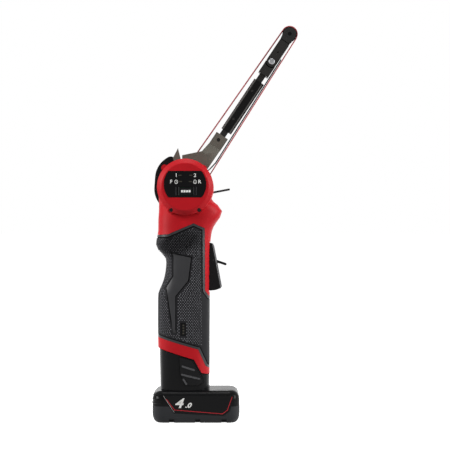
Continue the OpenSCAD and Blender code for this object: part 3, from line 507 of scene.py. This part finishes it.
def place_thin(bm, name, body, look):
    """Piece that is a print or another thin flat form, with crisp edges."""
    shade(bm, CRISP_THIN)
    place_piece(bm, name, body, [look], weighted=False)


def replace_node(bm, node, finishes, weighted=True):
    """Piece that stands for a CAD node, on the node's body and in its slot."""
    name = "finished_" + node
    piece = place_piece(bm, name, body_of_node(node), finishes, weighted)
    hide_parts(node)
    return piece


def merged_copy(node, flatten=True):
    """Mesh of a CAD node with its doubles merged and its flat faces joined."""
    bm = bmesh.new()
    bm.from_mesh(frame["nodes"][node].data)
    bmesh.ops.remove_doubles(bm, verts=bm.verts, dist=MERGE)
    if flatten:
        limit = math.radians(FLAT_ANGLE)
        bmesh.ops.dissolve_limit(bm, angle_limit=limit, verts=bm.verts, edges=bm.edges)
    return bm


def sharp_edges(bm, angle=ROUND_ABOVE):
    """Edges sharper than an angle in degrees."""
    return [
        edge for edge in bm.edges
        if edge.is_manifold and edge.calc_face_angle() > math.radians(angle)
    ]


def round_edges(bm, edges, radius, clamp=True):
    """Rounds edges to a radius in millimetres."""
    bmesh.ops.bevel(
        bm, geom=edges, offset=radius * MM, offset_type="OFFSET", segments=2, profile=0.5,
        affect="EDGES", clamp_overlap=clamp, material=-1,
    )


def finished_node(node, radius, look=None, rubbed=None, where=None):
    """CAD node with rounded edges; faces for which where() is true take a second finish, a painted highlight."""
    bm = merged_copy(node)
    round_edges(bm, sharp_edges(bm), radius)
    shade(bm, CRISP_NODE)
    finishes = [look or SLOT_OF_NODE[node]]
    if rubbed:
        finishes.append(rubbed)
        for face in bm.faces:
            face.material_index = int(where(face))
    replace_node(bm, node, finishes)


def new_verts(result):
    """Vertices among the geometry that a bmesh operator made."""
    return [item for item in result["geom"] if isinstance(item, bmesh.types.BMVert)]


def plate(outline, y_back, y_front):
    """Flat plate with an outline of [x, z] points, from y_back out to y_front."""
    bm = bmesh.new()
    face = bm.faces.new([bm.verts.new((x, y_back, z)) for x, z in outline])
    front = new_verts(bmesh.ops.extrude_face_region(bm, geom=[face]))
    bmesh.ops.translate(bm, verts=front, vec=(0, y_front - y_back, 0))
    bmesh.ops.recalc_face_normals(bm, faces=bm.faces)
    return bm


def box_outline(middle, half_width, half_height):
    """Corners of a rectangle around an [x, z] place."""
    x, z = middle
    return [(x - half_width, z - half_height), (x + half_width, z - half_height),
            (x + half_width, z + half_height), (x - half_width, z + half_height)]


def in_metres(points):
    """[x, z] points in millimetres, turned to metres."""
    return [(x * MM, z * MM) for x, z in points]


def ribbon(points, width):
    """Outline of a band of even width along an open path of [x, z] points, mitred at its bends."""
    path = [Vector(point) for point in points]
    left, right = [], []
    for i, point in enumerate(path):
        before = (point - path[i - 1]).normalized() if i else (path[1] - point).normalized()
        after = (path[i + 1] - point).normalized() if i + 1 < len(path) else before
        along = (before + after).normalized()
        reach = width / 2 / max(MITRE_LEAST, along.dot(after))
        across = Vector((-along.y, along.x)) * reach
        left.append(point + across)
        right.append(point - across)
    return left + right[::-1]


def segment_distance(place, start, end):
    """Distance of an [x, z] place from the straight line between two others."""
    start, run = Vector(start), Vector(end) - Vector(start)
    share = (place - start).dot(run) / run.length_squared
    return (place - start - run * min(1, max(0, share))).length


def outline_distance(place, outline):
    """Distance of an [x, z] place from a closed outline."""
    return min(segment_distance(place, outline[i - 1], end) for i, end in enumerate(outline))


def join_bmesh(target, source):
    """Adds the mesh of one bmesh to another."""
    mesh = bpy.data.meshes.new("joined")
    source.to_mesh(mesh)
    source.free()
    target.from_mesh(mesh)
    bpy.data.meshes.remove(mesh)


def figure(text, height, centre, y_back, rise, weight=0.1, slant=0, width=1):
    """Mesh of a short plain figure that faces -Y, centred on an [x, z] place.

    Its strokes are swollen by a weight in millimetres, and width stretches it.
    """
    curve = bpy.data.curves.new("figure", "FONT")
    curve.body = text
    curve.size = height / FIGURE_SHARE
    curve.extrude = rise / 2
    curve.offset = weight * MM
    curve.shear = slant
    curve.align_x = "CENTER"
    curve.align_y = "CENTER"
    curve.resolution_u = 3
    holder = bpy.data.objects.new("figure", curve)
    bpy.context.scene.collection.objects.link(holder)
    bpy.context.view_layer.update()
    evaluated = holder.evaluated_get(bpy.context.evaluated_depsgraph_get())
    mesh = bpy.data.meshes.new_from_object(evaluated)
    bpy.data.objects.remove(holder)
    bpy.data.curves.remove(curve)
    bm = bmesh.new()
    bm.from_mesh(mesh)
    bpy.data.meshes.remove(mesh)
    bmesh.ops.remove_doubles(bm, verts=bm.verts, dist=MERGE)
    bmesh.ops.scale(bm, vec=(width, 1, 1), verts=bm.verts)
    place = Matrix.Translation((centre[0], y_back - rise / 2, centre[1]))
    upright = Matrix.Rotation(math.pi / 2, 4, "X")
    bmesh.ops.transform(bm, matrix=place @ upright, verts=bm.verts)
    return bm


# Operators


class BeltFileOperator(Operator):
    """Shared settings of the operators"""

    bl_options = {"REGISTER", "UNDO"}

    # Nodes that only need rounded edges, with the radius in millimetres
    rounded = {}

    @property
    def sizes(self):
        return bpy.context.scene.belt_file_sizes

    def round_nodes(self):
        """Finishes the nodes that only need rounded edges."""
        for node, radius in self.rounded.items():
            finished_node(node, radius)


class BELTFILE_OT_housing(BeltFileOperator):
    """Red clamshell halves with a fine seam on the split plane"""

    bl_idname = "belt_file.housing"
    bl_label = "Housing"

    # Seam: radius and distance from the split plane in millimetres, least angle in degrees
    seam_round = 0.25
    seam_slack = 0.001
    seam_angle = 50
    # Edges of the halves that are sharper than this many degrees stay crisp
    crisp_above = 48

    def execute(self, context):
        for node in ("housing_right", "housing_left"):
            bm = merged_copy(node)
            seam = [
                edge for edge in sharp_edges(bm, self.seam_angle)
                if all(abs(vert.co.y) < self.seam_slack * MM for vert in edge.verts)
            ]
            round_edges(bm, seam, self.seam_round, clamp=False)
            shade(bm, self.crisp_above)
            replace_node(bm, node, ["red_plastic"])
        return {"FINISHED"}


class BELTFILE_OT_grip(BeltFileOperator):
    """Rubber covers with their studded texture, and the charge gauge"""

    bl_idname = "belt_file.grip"
    bl_label = "Grip"

    rounded = {"fuel_gauge": 0.3}

    # Plain palm panel as [x, z] in millimetres, the outline that the groove in the rubber follows
    palm_panel = [
        (-15, 172.5), (6.8, 167.9), (3.7, 143.6), (-9.2, 127.8), (-9.2, 90.6),
        (-13, 90.6), (-18.3, 124.7), (-20.2, 137), (-13.1, 148.6), (-13.1, 168.9),
    ]
    # Outline of the rubber cover as [x, z] in millimetres, its plain rim, and the groove inside it
    cover_line = [
        (-60, 188.6), (-17.9, 191), (8.4, 202.2), (19.7, 197.1), (20.1, 133.6),
        (24.2, 127.8), (80, 127.8), (80, 53.8), (24.7, 53.8), (20.4, 56.8),
        (13, 73.8), (-28.4, 86.1), (-60, 96),
    ]
    rim_width = 2.4
    groove_width = 0.9
    slack = 0.03
    # Zones of the rubber, and their finishes; the groove's finish is painted shade
    ground, palm, groove = range(3)
    finishes = ["grip_rubber", "palm_rubber", "groove_shade"]

    # Studs stop at this x in millimetres, where the rubber has turned this far to the front or
    # back, and this many margins from the seam
    plain_front = 16.2
    plain_turn = 0.86
    plain_seam = 2.5
    # Stud: half widths of its foot and its top as shares of the pitch, and its squatness
    stud_foot = 0.34
    stud_top = 0.19
    stud_squat = 0.8
    # Rows: their distance as a share of the pitch, steps of the sweep, and where it starts
    row_share = 0.62
    sweep_steps = 360
    sweep_reach = 60 * MM
    # Probes around a stud: their number, the height they start from, and the dip they allow
    probes = 10
    probe_height = 4 * MM
    probe_dip = 0.3 * MM

    # Gauge windows: number, half width and half height, and shift towards the front
    windows = 4
    window_half = (0.9 * MM, 0.75 * MM)
    window_shift = 0.4 * MM

    def in_palm(self, x, z):
        """True inside the plain palm panel."""
        x, z = x / MM, z / MM
        inside = False
        for i, (bx, bz) in enumerate(self.palm_panel):
            ax, az = self.palm_panel[i - 1]
            if (az > z) != (bz > z) and x < ax + (bx - ax) * (z - az) / (bz - az):
                inside = not inside
        return inside

    def zone(self, x, z):
        """Zone of the rubber at a place: studded ground, smooth palm and rim, or groove."""
        place = Vector((x, z)) / MM
        from_edge = outline_distance(place, self.cover_line)
        in_palm = self.in_palm(x, z)
        if in_palm and outline_distance(place, self.palm_panel) < self.groove_width + self.slack:
            return self.groove
        if from_edge < self.rim_width - self.slack or in_palm:
            return self.palm
        in_groove = from_edge < self.rim_width + self.groove_width + self.slack
        return self.groove if in_groove else self.ground

    def row_spots(self, surface, centre, side, travelled):
        """Places one pitch apart around the rubber at one height, each with its normal."""
        last = None
        for i in range(1, self.sweep_steps):
            turn = math.pi * i / self.sweep_steps
            outward = Vector((math.cos(turn), side * math.sin(turn), 0))
            spot, normal, _, _ = surface.ray_cast(centre + outward * self.sweep_reach, -outward)
            if spot is not None and last is not None:
                travelled += (spot - last).length
            last = spot
            if spot is not None and travelled >= self.sizes.stud_pitch:
                travelled -= self.sizes.stud_pitch
                yield spot, normal

    def stays_plain(self, spot, normal):
        """True in the palm, near the seam, and towards the front and back, where no stud stands."""
        return (
            abs(normal.x) > self.plain_turn
            or spot.x > self.plain_front * MM
            or abs(spot.y) < self.plain_seam * self.sizes.stud_margin
            or self.in_palm(spot.x, spot.z)
        )

    def lies_flat(self, surface, spot, along, up, normal):
        """True where no groove or edge comes within the margin of a stud."""
        for i in range(self.probes):
            turn = i * math.tau / self.probes
            aside = along * math.cos(turn) + up * math.sin(turn)
            probe = spot + aside * self.sizes.stud_margin
            hit, _, _, _ = surface.ray_cast(probe + normal * self.probe_height, -normal)
            if hit is None or abs((hit - probe).dot(normal)) > self.probe_dip:
                return False
        return True

    def studs(self, node, side):
        """Rows of low four-sided studs over the rubber, clear of grooves, edges and the palm."""
        bm = merged_copy(node)
        surface = BVHTree.FromBMesh(bm)
        bm.free()
        low, high = (Vector(corner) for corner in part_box(node))
        pitch = self.sizes.stud_pitch
        row_step = pitch * self.row_share
        squat = Matrix.Diagonal((1, self.stud_squat, 1, 1))
        field = bmesh.new()
        for row in range(int((high.z - low.z) / row_step)):
            centre = Vector(((low.x + high.x) / 2, 0, low.z + row * row_step))
            start = pitch / 2 if row % 2 else 0
            for spot, normal in self.row_spots(surface, centre, side, start):
                if self.stays_plain(spot, normal):
                    continue
                along = normal.cross(Vector((0, 0, 1))).normalized()
                up = along.cross(normal).normalized()
                if not self.lies_flat(surface, spot, along, up, normal):
                    continue
                pose = Matrix((along, up, normal)).transposed().to_4x4()
                pose.translation = spot
                bmesh.ops.create_cone(
                    field, cap_ends=True, segments=4, radius1=pitch * self.stud_foot,
                    radius2=pitch * self.stud_top, depth=2 * self.sizes.stud_rise,
                    matrix=pose @ squat,
                )
        return field

    def gauge_windows(self):
        """Small lamp windows, one above the other, in the charge gauge."""
        low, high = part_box("fuel_gauge")
        middle = box_middle("fuel_gauge")
        step = (high[2] - low[2]) / (self.windows + 1)
        windows = bmesh.new()
        for i in range(self.windows):
            z = middle.z + (i - (self.windows - 1) / 2) * step
            outline = box_outline((middle.x + self.window_shift, z), *self.window_half)
            join_bmesh(windows, plate(outline, low[1] + ROOT, low[1] - self.sizes.print_rise))
        place_thin(windows, "gauge_windows", "housing", "lamp_lens")

    def execute(self, context):
        for node, side in (("grip_right", -1), ("grip_left", 1)):
            bm = merged_copy(node)
            shade(bm, CRISP_THIN)
            for face in bm.faces:
                middle = face.calc_center_median()
                face.material_index = self.zone(middle.x, middle.z)
            replace_node(bm, node, self.finishes)
            # The studs take a paler finish: a painted highlight on their tops
            place_piece(
                self.studs(node, side), "studs_" + node, "housing", ["worn_rubber"],
                weighted=False,
            )
        self.round_nodes()
        self.gauge_windows()
        return {"FINISHED"}


class BELTFILE_OT_head(BeltFileOperator):
    """Bevelled motor cap and its screws"""

    bl_idname = "belt_file.head"
    bl_label = "Head"

    rounded = {"motor_cap": 0.35, "cap_screws": 0.15}

    def execute(self, context):
        self.round_nodes()
        return {"FINISHED"}


class BELTFILE_OT_panel_face(BeltFileOperator):
    """Control panel with its lamps, push button and printed figures"""

    bl_idname = "belt_file.panel_face"
    bl_label = "Control panel"

    rounded = {"control_panel": 0.25, "mode_button": 0.3, "indicator_lenses": 0.12}

    # Places of the marks from the drive axis as [x, z] in millimetres
    figures = {"1": (-8.8, 11.4), "2": (10.1, 11.4), "F": (-14, 4.9), "R": (14.6, 4.9)}
    rings = [(-8.8, 4.9), (10.1, 4.9)]
    # Rings: half sizes, hole as a share of them, sides, and half sizes of the stroke inside
    ring_half = (1.7 * MM, 2.1 * MM)
    ring_hole = 0.74
    ring_sides = 40
    stroke_half = (0.2 * MM, 0.8 * MM)
    # Ribs beside the button, in millimetres from the drive axis: their x, and z of their ends
    ribs = (-9.1, -6.4, 8.9, 11.3)
    rib_ends = (-8.6, -0.3)
    rib_half = 0.2 * MM
    rib_root = 0.6 * MM
    rib_rise = 0.1 * MM
    # Bars on the button: number, step as a share of its width, half width as a share of the step
    bars = 4
    bar_step = 0.19
    bar_share = 0.4
    bar_half_height = 1.1 * MM

    def spot(self, x, z):
        """[x, z] place in the frame of a place in millimetres from the drive axis."""
        axis = drive_axis()
        return axis.x + x * MM, axis.z + z * MM

    def sink_button_face(self):
        """Sets the button's face back by its print's thickness, so the print ends at the solid."""
        mesh = bpy.data.objects["finished_mode_button"].data
        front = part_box("mode_button")[0][1] + self.sizes.print_rise
        for vert in mesh.vertices:
            vert.co.y = max(vert.co.y, front)

    def ring_mark(self, centre, face_y):
        """Flat upright ring with a short stroke inside it."""
        rise = self.sizes.print_rise
        half_width, half_height = self.ring_half
        bm = bmesh.new()
        bmesh.ops.create_circle(bm, cap_ends=False, radius=half_width, segments=self.ring_sides)
        inner = new_verts(bmesh.ops.extrude_edge_only(bm, edges=bm.edges[:]))
        bmesh.ops.scale(bm, vec=(self.ring_hole, self.ring_hole, 1), verts=inner)
        bmesh.ops.scale(bm, vec=(1, half_height / half_width, 1), verts=bm.verts)
        bmesh.ops.recalc_face_normals(bm, faces=bm.faces)
        bmesh.ops.solidify(bm, geom=bm.faces[:], thickness=rise)
        upright = Matrix.Rotation(math.pi / 2, 3, "X")
        bmesh.ops.rotate(bm, cent=(0, 0, 0), matrix=upright, verts=bm.verts)
        place = (centre[0], face_y - rise / 2, centre[1])
        bmesh.ops.translate(bm, vec=place, verts=bm.verts)
        bmesh.ops.recalc_face_normals(bm, faces=bm.faces)
        join_bmesh(bm, plate(box_outline(centre, *self.stroke_half), face_y, face_y - rise))
        return bm

    def button_guides(self, face_y):
        """Low ribs beside the button, in a grey finish that is a painted highlight."""
        low, high = self.rib_ends
        guides = bmesh.new()
        for x in self.ribs:
            middle = self.spot(x, (low + high) / 2)
            outline = box_outline(middle, self.rib_half, (high - low) / 2 * MM)
            join_bmesh(guides, plate(outline, face_y + self.rib_root, face_y - self.rib_rise))
        place_thin(guides, "button_guides", "housing", "rubbed_nylon")

    def button_bars(self):
        """Printed bars side by side on the button."""
        low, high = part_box("mode_button")
        middle = box_middle("mode_button")
        step = (high[0] - low[0]) * self.bar_step
        bars = bmesh.new()
        for i in range(self.bars):
            place = (middle.x + (i - (self.bars - 1) / 2) * step, middle.z)
            outline = box_outline(place, step * self.bar_share, self.bar_half_height)
            join_bmesh(bars, plate(outline, low[1] + self.sizes.print_rise, low[1]))
        place_thin(bars, "button_bars", "mode_button", "white_print")

    def execute(self, context):
        self.round_nodes()
        self.sink_button_face()
        face_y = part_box("control_panel")[0][1]
        height, rise = self.sizes.mark_height, self.sizes.print_rise
        for text, place in self.figures.items():
            bm = figure(text, height, self.spot(*place), face_y, rise)
            place_thin(bm, "figure_" + text, "housing", "white_print")
        for i, place in enumerate(self.rings):
            bm = self.ring_mark(self.spot(*place), face_y)
            place_thin(bm, f"ring_mark_{i}", "housing", "white_print")
        self.button_guides(face_y)
        self.button_bars()
        return {"FINISHED"}


class BELTFILE_OT_trigger_group(BeltFileOperator):
    """Paddle trigger, lock-off lever and their pins"""

    bl_idname = "belt_file.trigger_group"
    bl_label = "Trigger"

    rounded = {"lock_lever": 0.4, "trigger_pin": 0.2}
    trigger_round = 1.6
    lever_pin_round = 0.2

    # Faces of the trigger that look this far forwards get a painted highlight
    highlight_turn = 0.6

    def takes_highlight(self, face):
        """True for a forward-looking face of the trigger, which gets a painted highlight."""
        return face.normal.x > self.highlight_turn

    def execute(self, context):
        finished_node(
            "trigger", self.trigger_round, rubbed="rubbed_nylon", where=self.takes_highlight
        )
        self.round_nodes()
        finished_node("lock_lever_pin", self.lever_pin_round, look="blackened_steel")
        return {"FINISHED"}


class BELTFILE_OT_arm(BeltFileOperator):
    """Stamped bracket, rail, channel, rivets, backing strip and tension spring"""

    bl_idname = "belt_file.arm"
    bl_label = "Arm"

    rounded = {"arm_bracket": 0.12, "arm_rail": 0.25, "channel_rivets": 0.25, "platen": 0.1}
    channel_round = 0.3

    # Faces of the channel get a painted highlight where they turn between its flat sides and its front
    corner_least, corner_most = 0.1, 0.995

    # Edges of the spring's wire that are sharper than this many degrees stay crisp
    spring_crisp = 50

    def on_corner(self, face):
        """True for a face on one of the channel's rounded corners."""
        return self.corner_least < abs(face.normal.dot(arm_side())) < self.corner_most

    def execute(self, context):
        self.round_nodes()
        finished_node(
            "arm_channel", self.channel_round, look="thick_oxide", rubbed="rubbed_steel",
            where=self.on_corner,
        )
        self.spring()
        return {"FINISHED"}

    def spring(self):
        """Belt tension spring, smooth shaded, with a mesh of its own; on the tool it shortens as the tip slides
        in.
        """
        bm = merged_copy("tension_spring", flatten=False)
        shade(bm, self.spring_crisp)
        piece = replace_node(bm, "tension_spring", ["spring_steel"], weighted=False)
        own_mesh(piece)


class BELTFILE_OT_belt(BeltFileOperator):
    """Abrasive belt: grit on a dark cloth back, two layers that also show along its edges"""

    bl_idname = "belt_file.belt"
    bl_label = "Belt"

    # Faces that lean out of or into the loop by more than this are its grit or its back
    layer_lean = 0.2

    def execute(self, context):
        bm = merged_copy("sanding_belt", flatten=False)
        start, along, reach = drive_axis(), arm_axis(), arm_reach()
        outer, inner = set(), set()
        for face in bm.faces:
            spot = face.calc_center_median() - start
            outward = spot - along * min(max(spot.dot(along), 0), reach)
            outward.y = 0
            lean = face.normal.dot(outward.normalized())
            if abs(lean) > self.layer_lean:
                (outer if lean > 0 else inner).update(face.verts)
        across = [
            edge for edge in bm.edges if (edge.verts[0] in outer) != (edge.verts[1] in outer)
        ]
        bmesh.ops.subdivide_edges(bm, edges=across, cuts=1)
        for face in bm.faces:
            face.material_index = int(any(vert in inner for vert in face.verts))
        shade(bm, CRISP_THIN)
        replace_node(bm, "sanding_belt", ["abrasive_cloth", "belt_back"], weighted=False)
        return {"FINISHED"}


class BELTFILE_OT_guard(BeltFileOperator):
    """Round belt guard with its flap, cover and screws"""

    bl_idname = "belt_file.guard"
    bl_label = "Guard"

    rounded = {
        "belt_guard": 0.4, "belt_cover": 0.5, "spark_deflector": 0.3, "cover_thumbscrew": 0.25,
        "guard_screws": 0.2,
    }

    def execute(self, context):
        self.round_nodes()
        return {"FINISHED"}


class BELTFILE_OT_tip(BeltFileOperator):
    """Sprung tip with its fork, screw and idler pulley"""

    bl_idname = "belt_file.tip"
    bl_label = "Tip"

    rounded = {"tip_rod": 0.25, "tip_socket": 0.35, "tip_fork": 0.35, "tip_screw": 0.2}
    idler_round = 0.2

    # In millimetres: step below the pulley, cheek behind the fork's face, ends and width of the painted shade
    # lines
    step_gap = 1.9
    cheek_back = 0.8
    step_ends = (-4.9, 5.2)
    line_width = 0.8
    # Gap below the screw: radius in millimetres, angles in degrees from across the arm
    arc_radius = 6.35
    arc_from, arc_to = 205, 325
    arc_points = 13

    def execute(self, context):
        self.round_nodes()
        for node in ("idler_axle", "idler_pulley"):
            finished_node(node, self.idler_round, look="thick_oxide")
        self.relief_lines()
        return {"FINISHED"}

    def step_line(self):
        """Path along the corner of the fork's step, as [x, z] places."""
        low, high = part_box("idler_pulley")
        step = arm_reach() - (high[0] - low[0]) / 2 - self.step_gap * MM
        return [arm_point(across * MM, step) for across in self.step_ends]

    def gap_arc(self):
        """Path along the curved gap between fork and socket, as [x, z] places."""
        pivot = box_middle("tip_screw") - drive_axis()
        middle = Vector((pivot.dot(arm_side()), pivot.dot(arm_axis())))
        sweep = math.radians(self.arc_to - self.arc_from) / (self.arc_points - 1)
        arc = []
        for i in range(self.arc_points):
            turn = math.radians(self.arc_from) + sweep * i
            spot = middle + Vector((math.cos(turn), math.sin(turn))) * self.arc_radius * MM
            arc.append(arm_point(spot.x, spot.y))
        return arc

    def relief_lines(self):
        """Painted shade in the corner of the fork's step and in the gap where the fork meets its socket."""
        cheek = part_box("tip_fork")[0][1] + self.cheek_back * MM
        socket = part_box("tip_socket")[0][1]
        lines = bmesh.new()
        for path, face_y in ((self.step_line(), cheek), (self.gap_arc(), socket)):
            outline = ribbon(path, self.line_width * MM)
            join_bmesh(lines, plate(outline, face_y + ROOT, face_y - self.sizes.print_rise))
        body = body_of_node("tip_fork")
        place_thin(lines, "tip_relief_lines", body, "groove_shade")


class BELTFILE_OT_battery(BeltFileOperator):
    """Battery foot with its neck, latches, heel ribs and front plate"""

    bl_idname = "belt_file.battery"
    bl_label = "Battery"

    rounded = {"battery_base": 0.5, "battery_case": 0.4}
    latch_round = 0.3

    # Front plate as [x, z] in millimetres, its depth and radius, and the lines along its edges
    plate_outline = [(-23.2, 28), (-11.4, 10.2), (39.2, 7.8), (44.9, 12.2), (50.2, 28)]
    plate_depth = 1.6
    plate_round = 0.2
    red_line = [(-19.2, 24.6), (-10.7, 13.6), (37.7, 9.7), (42.7, 13.4), (47.5, 26.8)]
    white_line = [(-21.9, 27.6), (-10.9, 11.2)]
    white_share = 0.35
    # Charge figures: text, height and [x, z] middle in millimetres, then how they are drawn
    figures = [("4", 9.6, (-6.9, 19.9)), (".0", 4.7, (2.9, 18.1))]
    figure_style = {"weight": 0.25, "slant": 0.3, "width": 1.2}
    # Ridges of the latches: ends as [x, z] and reach from their middle line, in millimetres; their faces get a
    # painted highlight
    ridges = [((-2.8, 57), (9, 53.2)), ((-3.4, 48.7), (14.2, 44.3)), ((1, 39.2), (-1.8, 43.6))]
    ridge_reach = 1.05

    def on_ridge(self, face):
        """True for a face that lies wholly on one of a latch's ridges."""
        spots = [Vector((vert.co.x, vert.co.z)) / MM for vert in face.verts]
        return any(
            all(segment_distance(spot, *ends) < self.ridge_reach for spot in spots)
            for ends in self.ridges
        )

    def front_plate(self):
        """Gloss plate on the front of the tray, with its lines and its charge figure."""
        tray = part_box("battery_base")[0][1]
        front, ink = tray - self.sizes.label_rise, self.sizes.print_rise
        bm = plate(in_metres(self.plate_outline), tray + self.plate_depth * MM, front)
        round_edges(bm, sharp_edges(bm), self.plate_round)
        shade(bm, CRISP_THIN)
        place_piece(bm, "battery_front_plate", "battery", ["gloss_black"])
        stripe = self.sizes.stripe_width
        for name, path, width, look in (
            ("battery_red_line", self.red_line, stripe, "red_print"),
            ("battery_white_line", self.white_line, stripe * self.white_share, "white_print"),
        ):
            line = plate(ribbon(in_metres(path), width), front, front - ink)
            place_thin(line, name, "battery", look)
        number = bmesh.new()
        for text, height, (x, z) in self.figures:
            centre = (x * MM, z * MM)
            join_bmesh(number, figure(text, height * MM, centre, front, ink, **self.figure_style))
        place_thin(number, "battery_number", "battery", "white_print")

    def execute(self, context):
        self.round_nodes()
        for node in ("latch_right", "latch_left"):
            finished_node(node, self.latch_round, rubbed="rubbed_nylon", where=self.on_ridge)
        self.front_plate()
        return {"FINISHED"}


class BELTFILE_OT_inner_parts(BeltFileOperator):
    """Finishes of the pieces inside the housing and of the fasteners"""

    bl_idname = "belt_file.inner_parts"
    bl_label = "Inner parts"

    def execute(self, context):
        for node, piece in frame["nodes"].items():
            if not piece.hide_render:
                piece.data.materials.clear()
                piece.data.materials.append(finish(SLOT_OF_NODE[node]))
        return {"FINISHED"}


class BELTFILE_OT_stage(BeltFileOperator):
    """Pale floor, white surroundings, soft lamps and the camera"""

    bl_idname = "belt_file.stage"
    bl_label = "Stage"

    # Lamps: name, place, aim, size and power in watts, with lengths in metres
    lamps = [
        ("Left softbox", (-1.25, -0.42, 0.7), (0.02, 0, 0.2), 0.7, 21.5),
        ("Right softbox", (1.25, -0.4, 0.5), (0.02, 0, 0.2), 0.7, 18.5),
        ("Top softbox", (0.05, -0.1, 1.35), (0.02, 0, 0.1), 0.55, 5.4),
        ("Rear softbox", (-0.3, 1.3, 0.8), (0.02, 0, 0.2), 0.8, 6),
    ]
    camera_place = (0.04027, -1.5, 0.2004)
    camera_lens = 116.5
    white = (1, 1, 1, 1)
    # Strength of the surroundings where they light the tool; seen directly, they are white
    around_strength = 0.13
    # Floor: half its width in metres, its drop, its grey for other rays, and its tone and glow as
    # the camera sees it
    floor_half = 30
    floor_drop = 0.2 * MM
    floor_grey = 0.25
    floor_tone = 0.95
    floor_glow = 0.92

    def execute(self, context):
        scene = context.scene
        scene.view_settings.view_transform = "Standard"
        scene.world = self.surroundings()
        self.floor(scene)
        for name, place, aim, size, power in self.lamps:
            lamp = bpy.data.lights.new(name, "AREA")
            lamp.shape = "DISK"
            lamp.size = size
            lamp.energy = power
            holder = bpy.data.objects.new(name, lamp)
            holder.location = place
            turn = (Vector(aim) - Vector(place)).to_track_quat("-Z", "Y")
            holder.rotation_euler = turn.to_euler()
            scene.collection.objects.link(holder)
        camera = bpy.data.objects.new("Camera", bpy.data.cameras.new("Camera"))
        camera.data.lens = self.camera_lens
        camera.location = self.camera_place
        camera.rotation_euler = (math.pi / 2, 0, 0)
        scene.collection.objects.link(camera)
        scene.camera = camera
        return {"FINISHED"}

    def surroundings(self):
        """World that lights the tool softly and looks white."""
        world = bpy.data.worlds.new("White surroundings")
        world.use_nodes = True
        tree = world.node_tree
        tree.nodes.clear()
        around = add(
            tree, "ShaderNodeBackground", {"Color": self.white, "Strength": self.around_strength}
        )
        behind = add(tree, "ShaderNodeBackground", {"Color": self.white, "Strength": 1})
        mixed = add(
            tree, "ShaderNodeMixShader",
            {0: self.seen_directly(tree), 1: around.outputs[0], 2: behind.outputs[0]},
        )
        add(tree, "ShaderNodeOutputWorld", {"Surface": mixed.outputs[0]})
        return world

    def floor(self, scene):
        """Wide floor just below the tool's foot."""
        bm = bmesh.new()
        bmesh.ops.create_grid(bm, x_segments=4, y_segments=4, size=self.floor_half)
        bmesh.ops.translate(bm, vec=(0, 0, -self.floor_drop), verts=bm.verts)
        mesh = bpy.data.meshes.new("floor")
        bm.to_mesh(mesh)
        bm.free()
        mesh.materials.append(self.floor_finish())
        floor = bpy.data.objects.new("floor", mesh)
        scene.collection.objects.link(floor)

    def seen_directly(self, tree):
        """1 for camera, glossy and transmission rays, which see the white, and 0 for others."""
        path = add(tree, "ShaderNodeLightPath").outputs
        either = add(
            tree, "ShaderNodeMath", {0: path["Is Camera Ray"], 1: path["Is Glossy Ray"]},
            operation="MAXIMUM",
        ).outputs[0]
        return add(
            tree, "ShaderNodeMath", {0: either, 1: path["Is Transmission Ray"]},
            operation="MAXIMUM",
        ).outputs[0]

    def floor_finish(self):
        """Pale floor that reads white to the camera and still takes the shadow of the tool."""
        material = bpy.data.materials.new("Pale studio floor")
        material.use_nodes = True
        tree = material.node_tree
        tree.nodes.clear()
        grey, tone = (tint(self.white[:3], share) for share in (self.floor_grey, self.floor_tone))
        pale = add(tree, "ShaderNodeBsdfDiffuse", {"Color": grey})
        shadowed = add(tree, "ShaderNodeBsdfDiffuse", {"Color": tone})
        glow = add(tree, "ShaderNodeEmission", {"Color": self.white, "Strength": self.floor_glow})
        seen = add(tree, "ShaderNodeAddShader", {0: shadowed.outputs[0], 1: glow.outputs[0]})
        mixed = add(
            tree, "ShaderNodeMixShader",
            {0: self.seen_directly(tree), 1: pale.outputs[0], 2: seen.outputs[0]},
        )
        add(tree, "ShaderNodeOutputMaterial", {"Surface": mixed.outputs[0]})
        return material


OPERATORS = [
    BELTFILE_OT_housing, BELTFILE_OT_grip, BELTFILE_OT_head, BELTFILE_OT_panel_face,
    BELTFILE_OT_trigger_group, BELTFILE_OT_arm, BELTFILE_OT_belt, BELTFILE_OT_guard,
    BELTFILE_OT_tip, BELTFILE_OT_battery, BELTFILE_OT_inner_parts, BELTFILE_OT_stage,
]


class VIEW3D_PT_belt_file(Panel):
    """Lists the operators, sizes and colours of the belt file"""

    bl_label = "Belt file"
    bl_space_type = "VIEW_3D"
    bl_region_type = "UI"
    bl_category = "Belt file"

    def draw(self, context):
        column = self.layout.column(align=True)
        for operator in OPERATORS:
            column.operator(operator.bl_idname)
        for group in (context.scene.belt_file_sizes, context.scene.belt_file_colours):
            for name in group.__annotations__:
                self.layout.prop(group, name)


CLASSES = [BeltFileColours, BeltFileSizes, *OPERATORS, VIEW3D_PT_belt_file]


def register():
    for cls in CLASSES:
        bpy.utils.register_class(cls)
    bpy.types.Scene.belt_file_colours = PointerProperty(type=BeltFileColours)
    bpy.types.Scene.belt_file_sizes = PointerProperty(type=BeltFileSizes)


def unregister():
    del bpy.types.Scene.belt_file_sizes
    del bpy.types.Scene.belt_file_colours
    for cls in reversed(CLASSES):
        bpy.utils.unregister_class(cls)


def main():
    register()
    for operator in OPERATORS:
        group, name = operator.bl_idname.split(".")
        getattr(getattr(bpy.ops, group), name)()


if __name__ == "__main__":
    main()
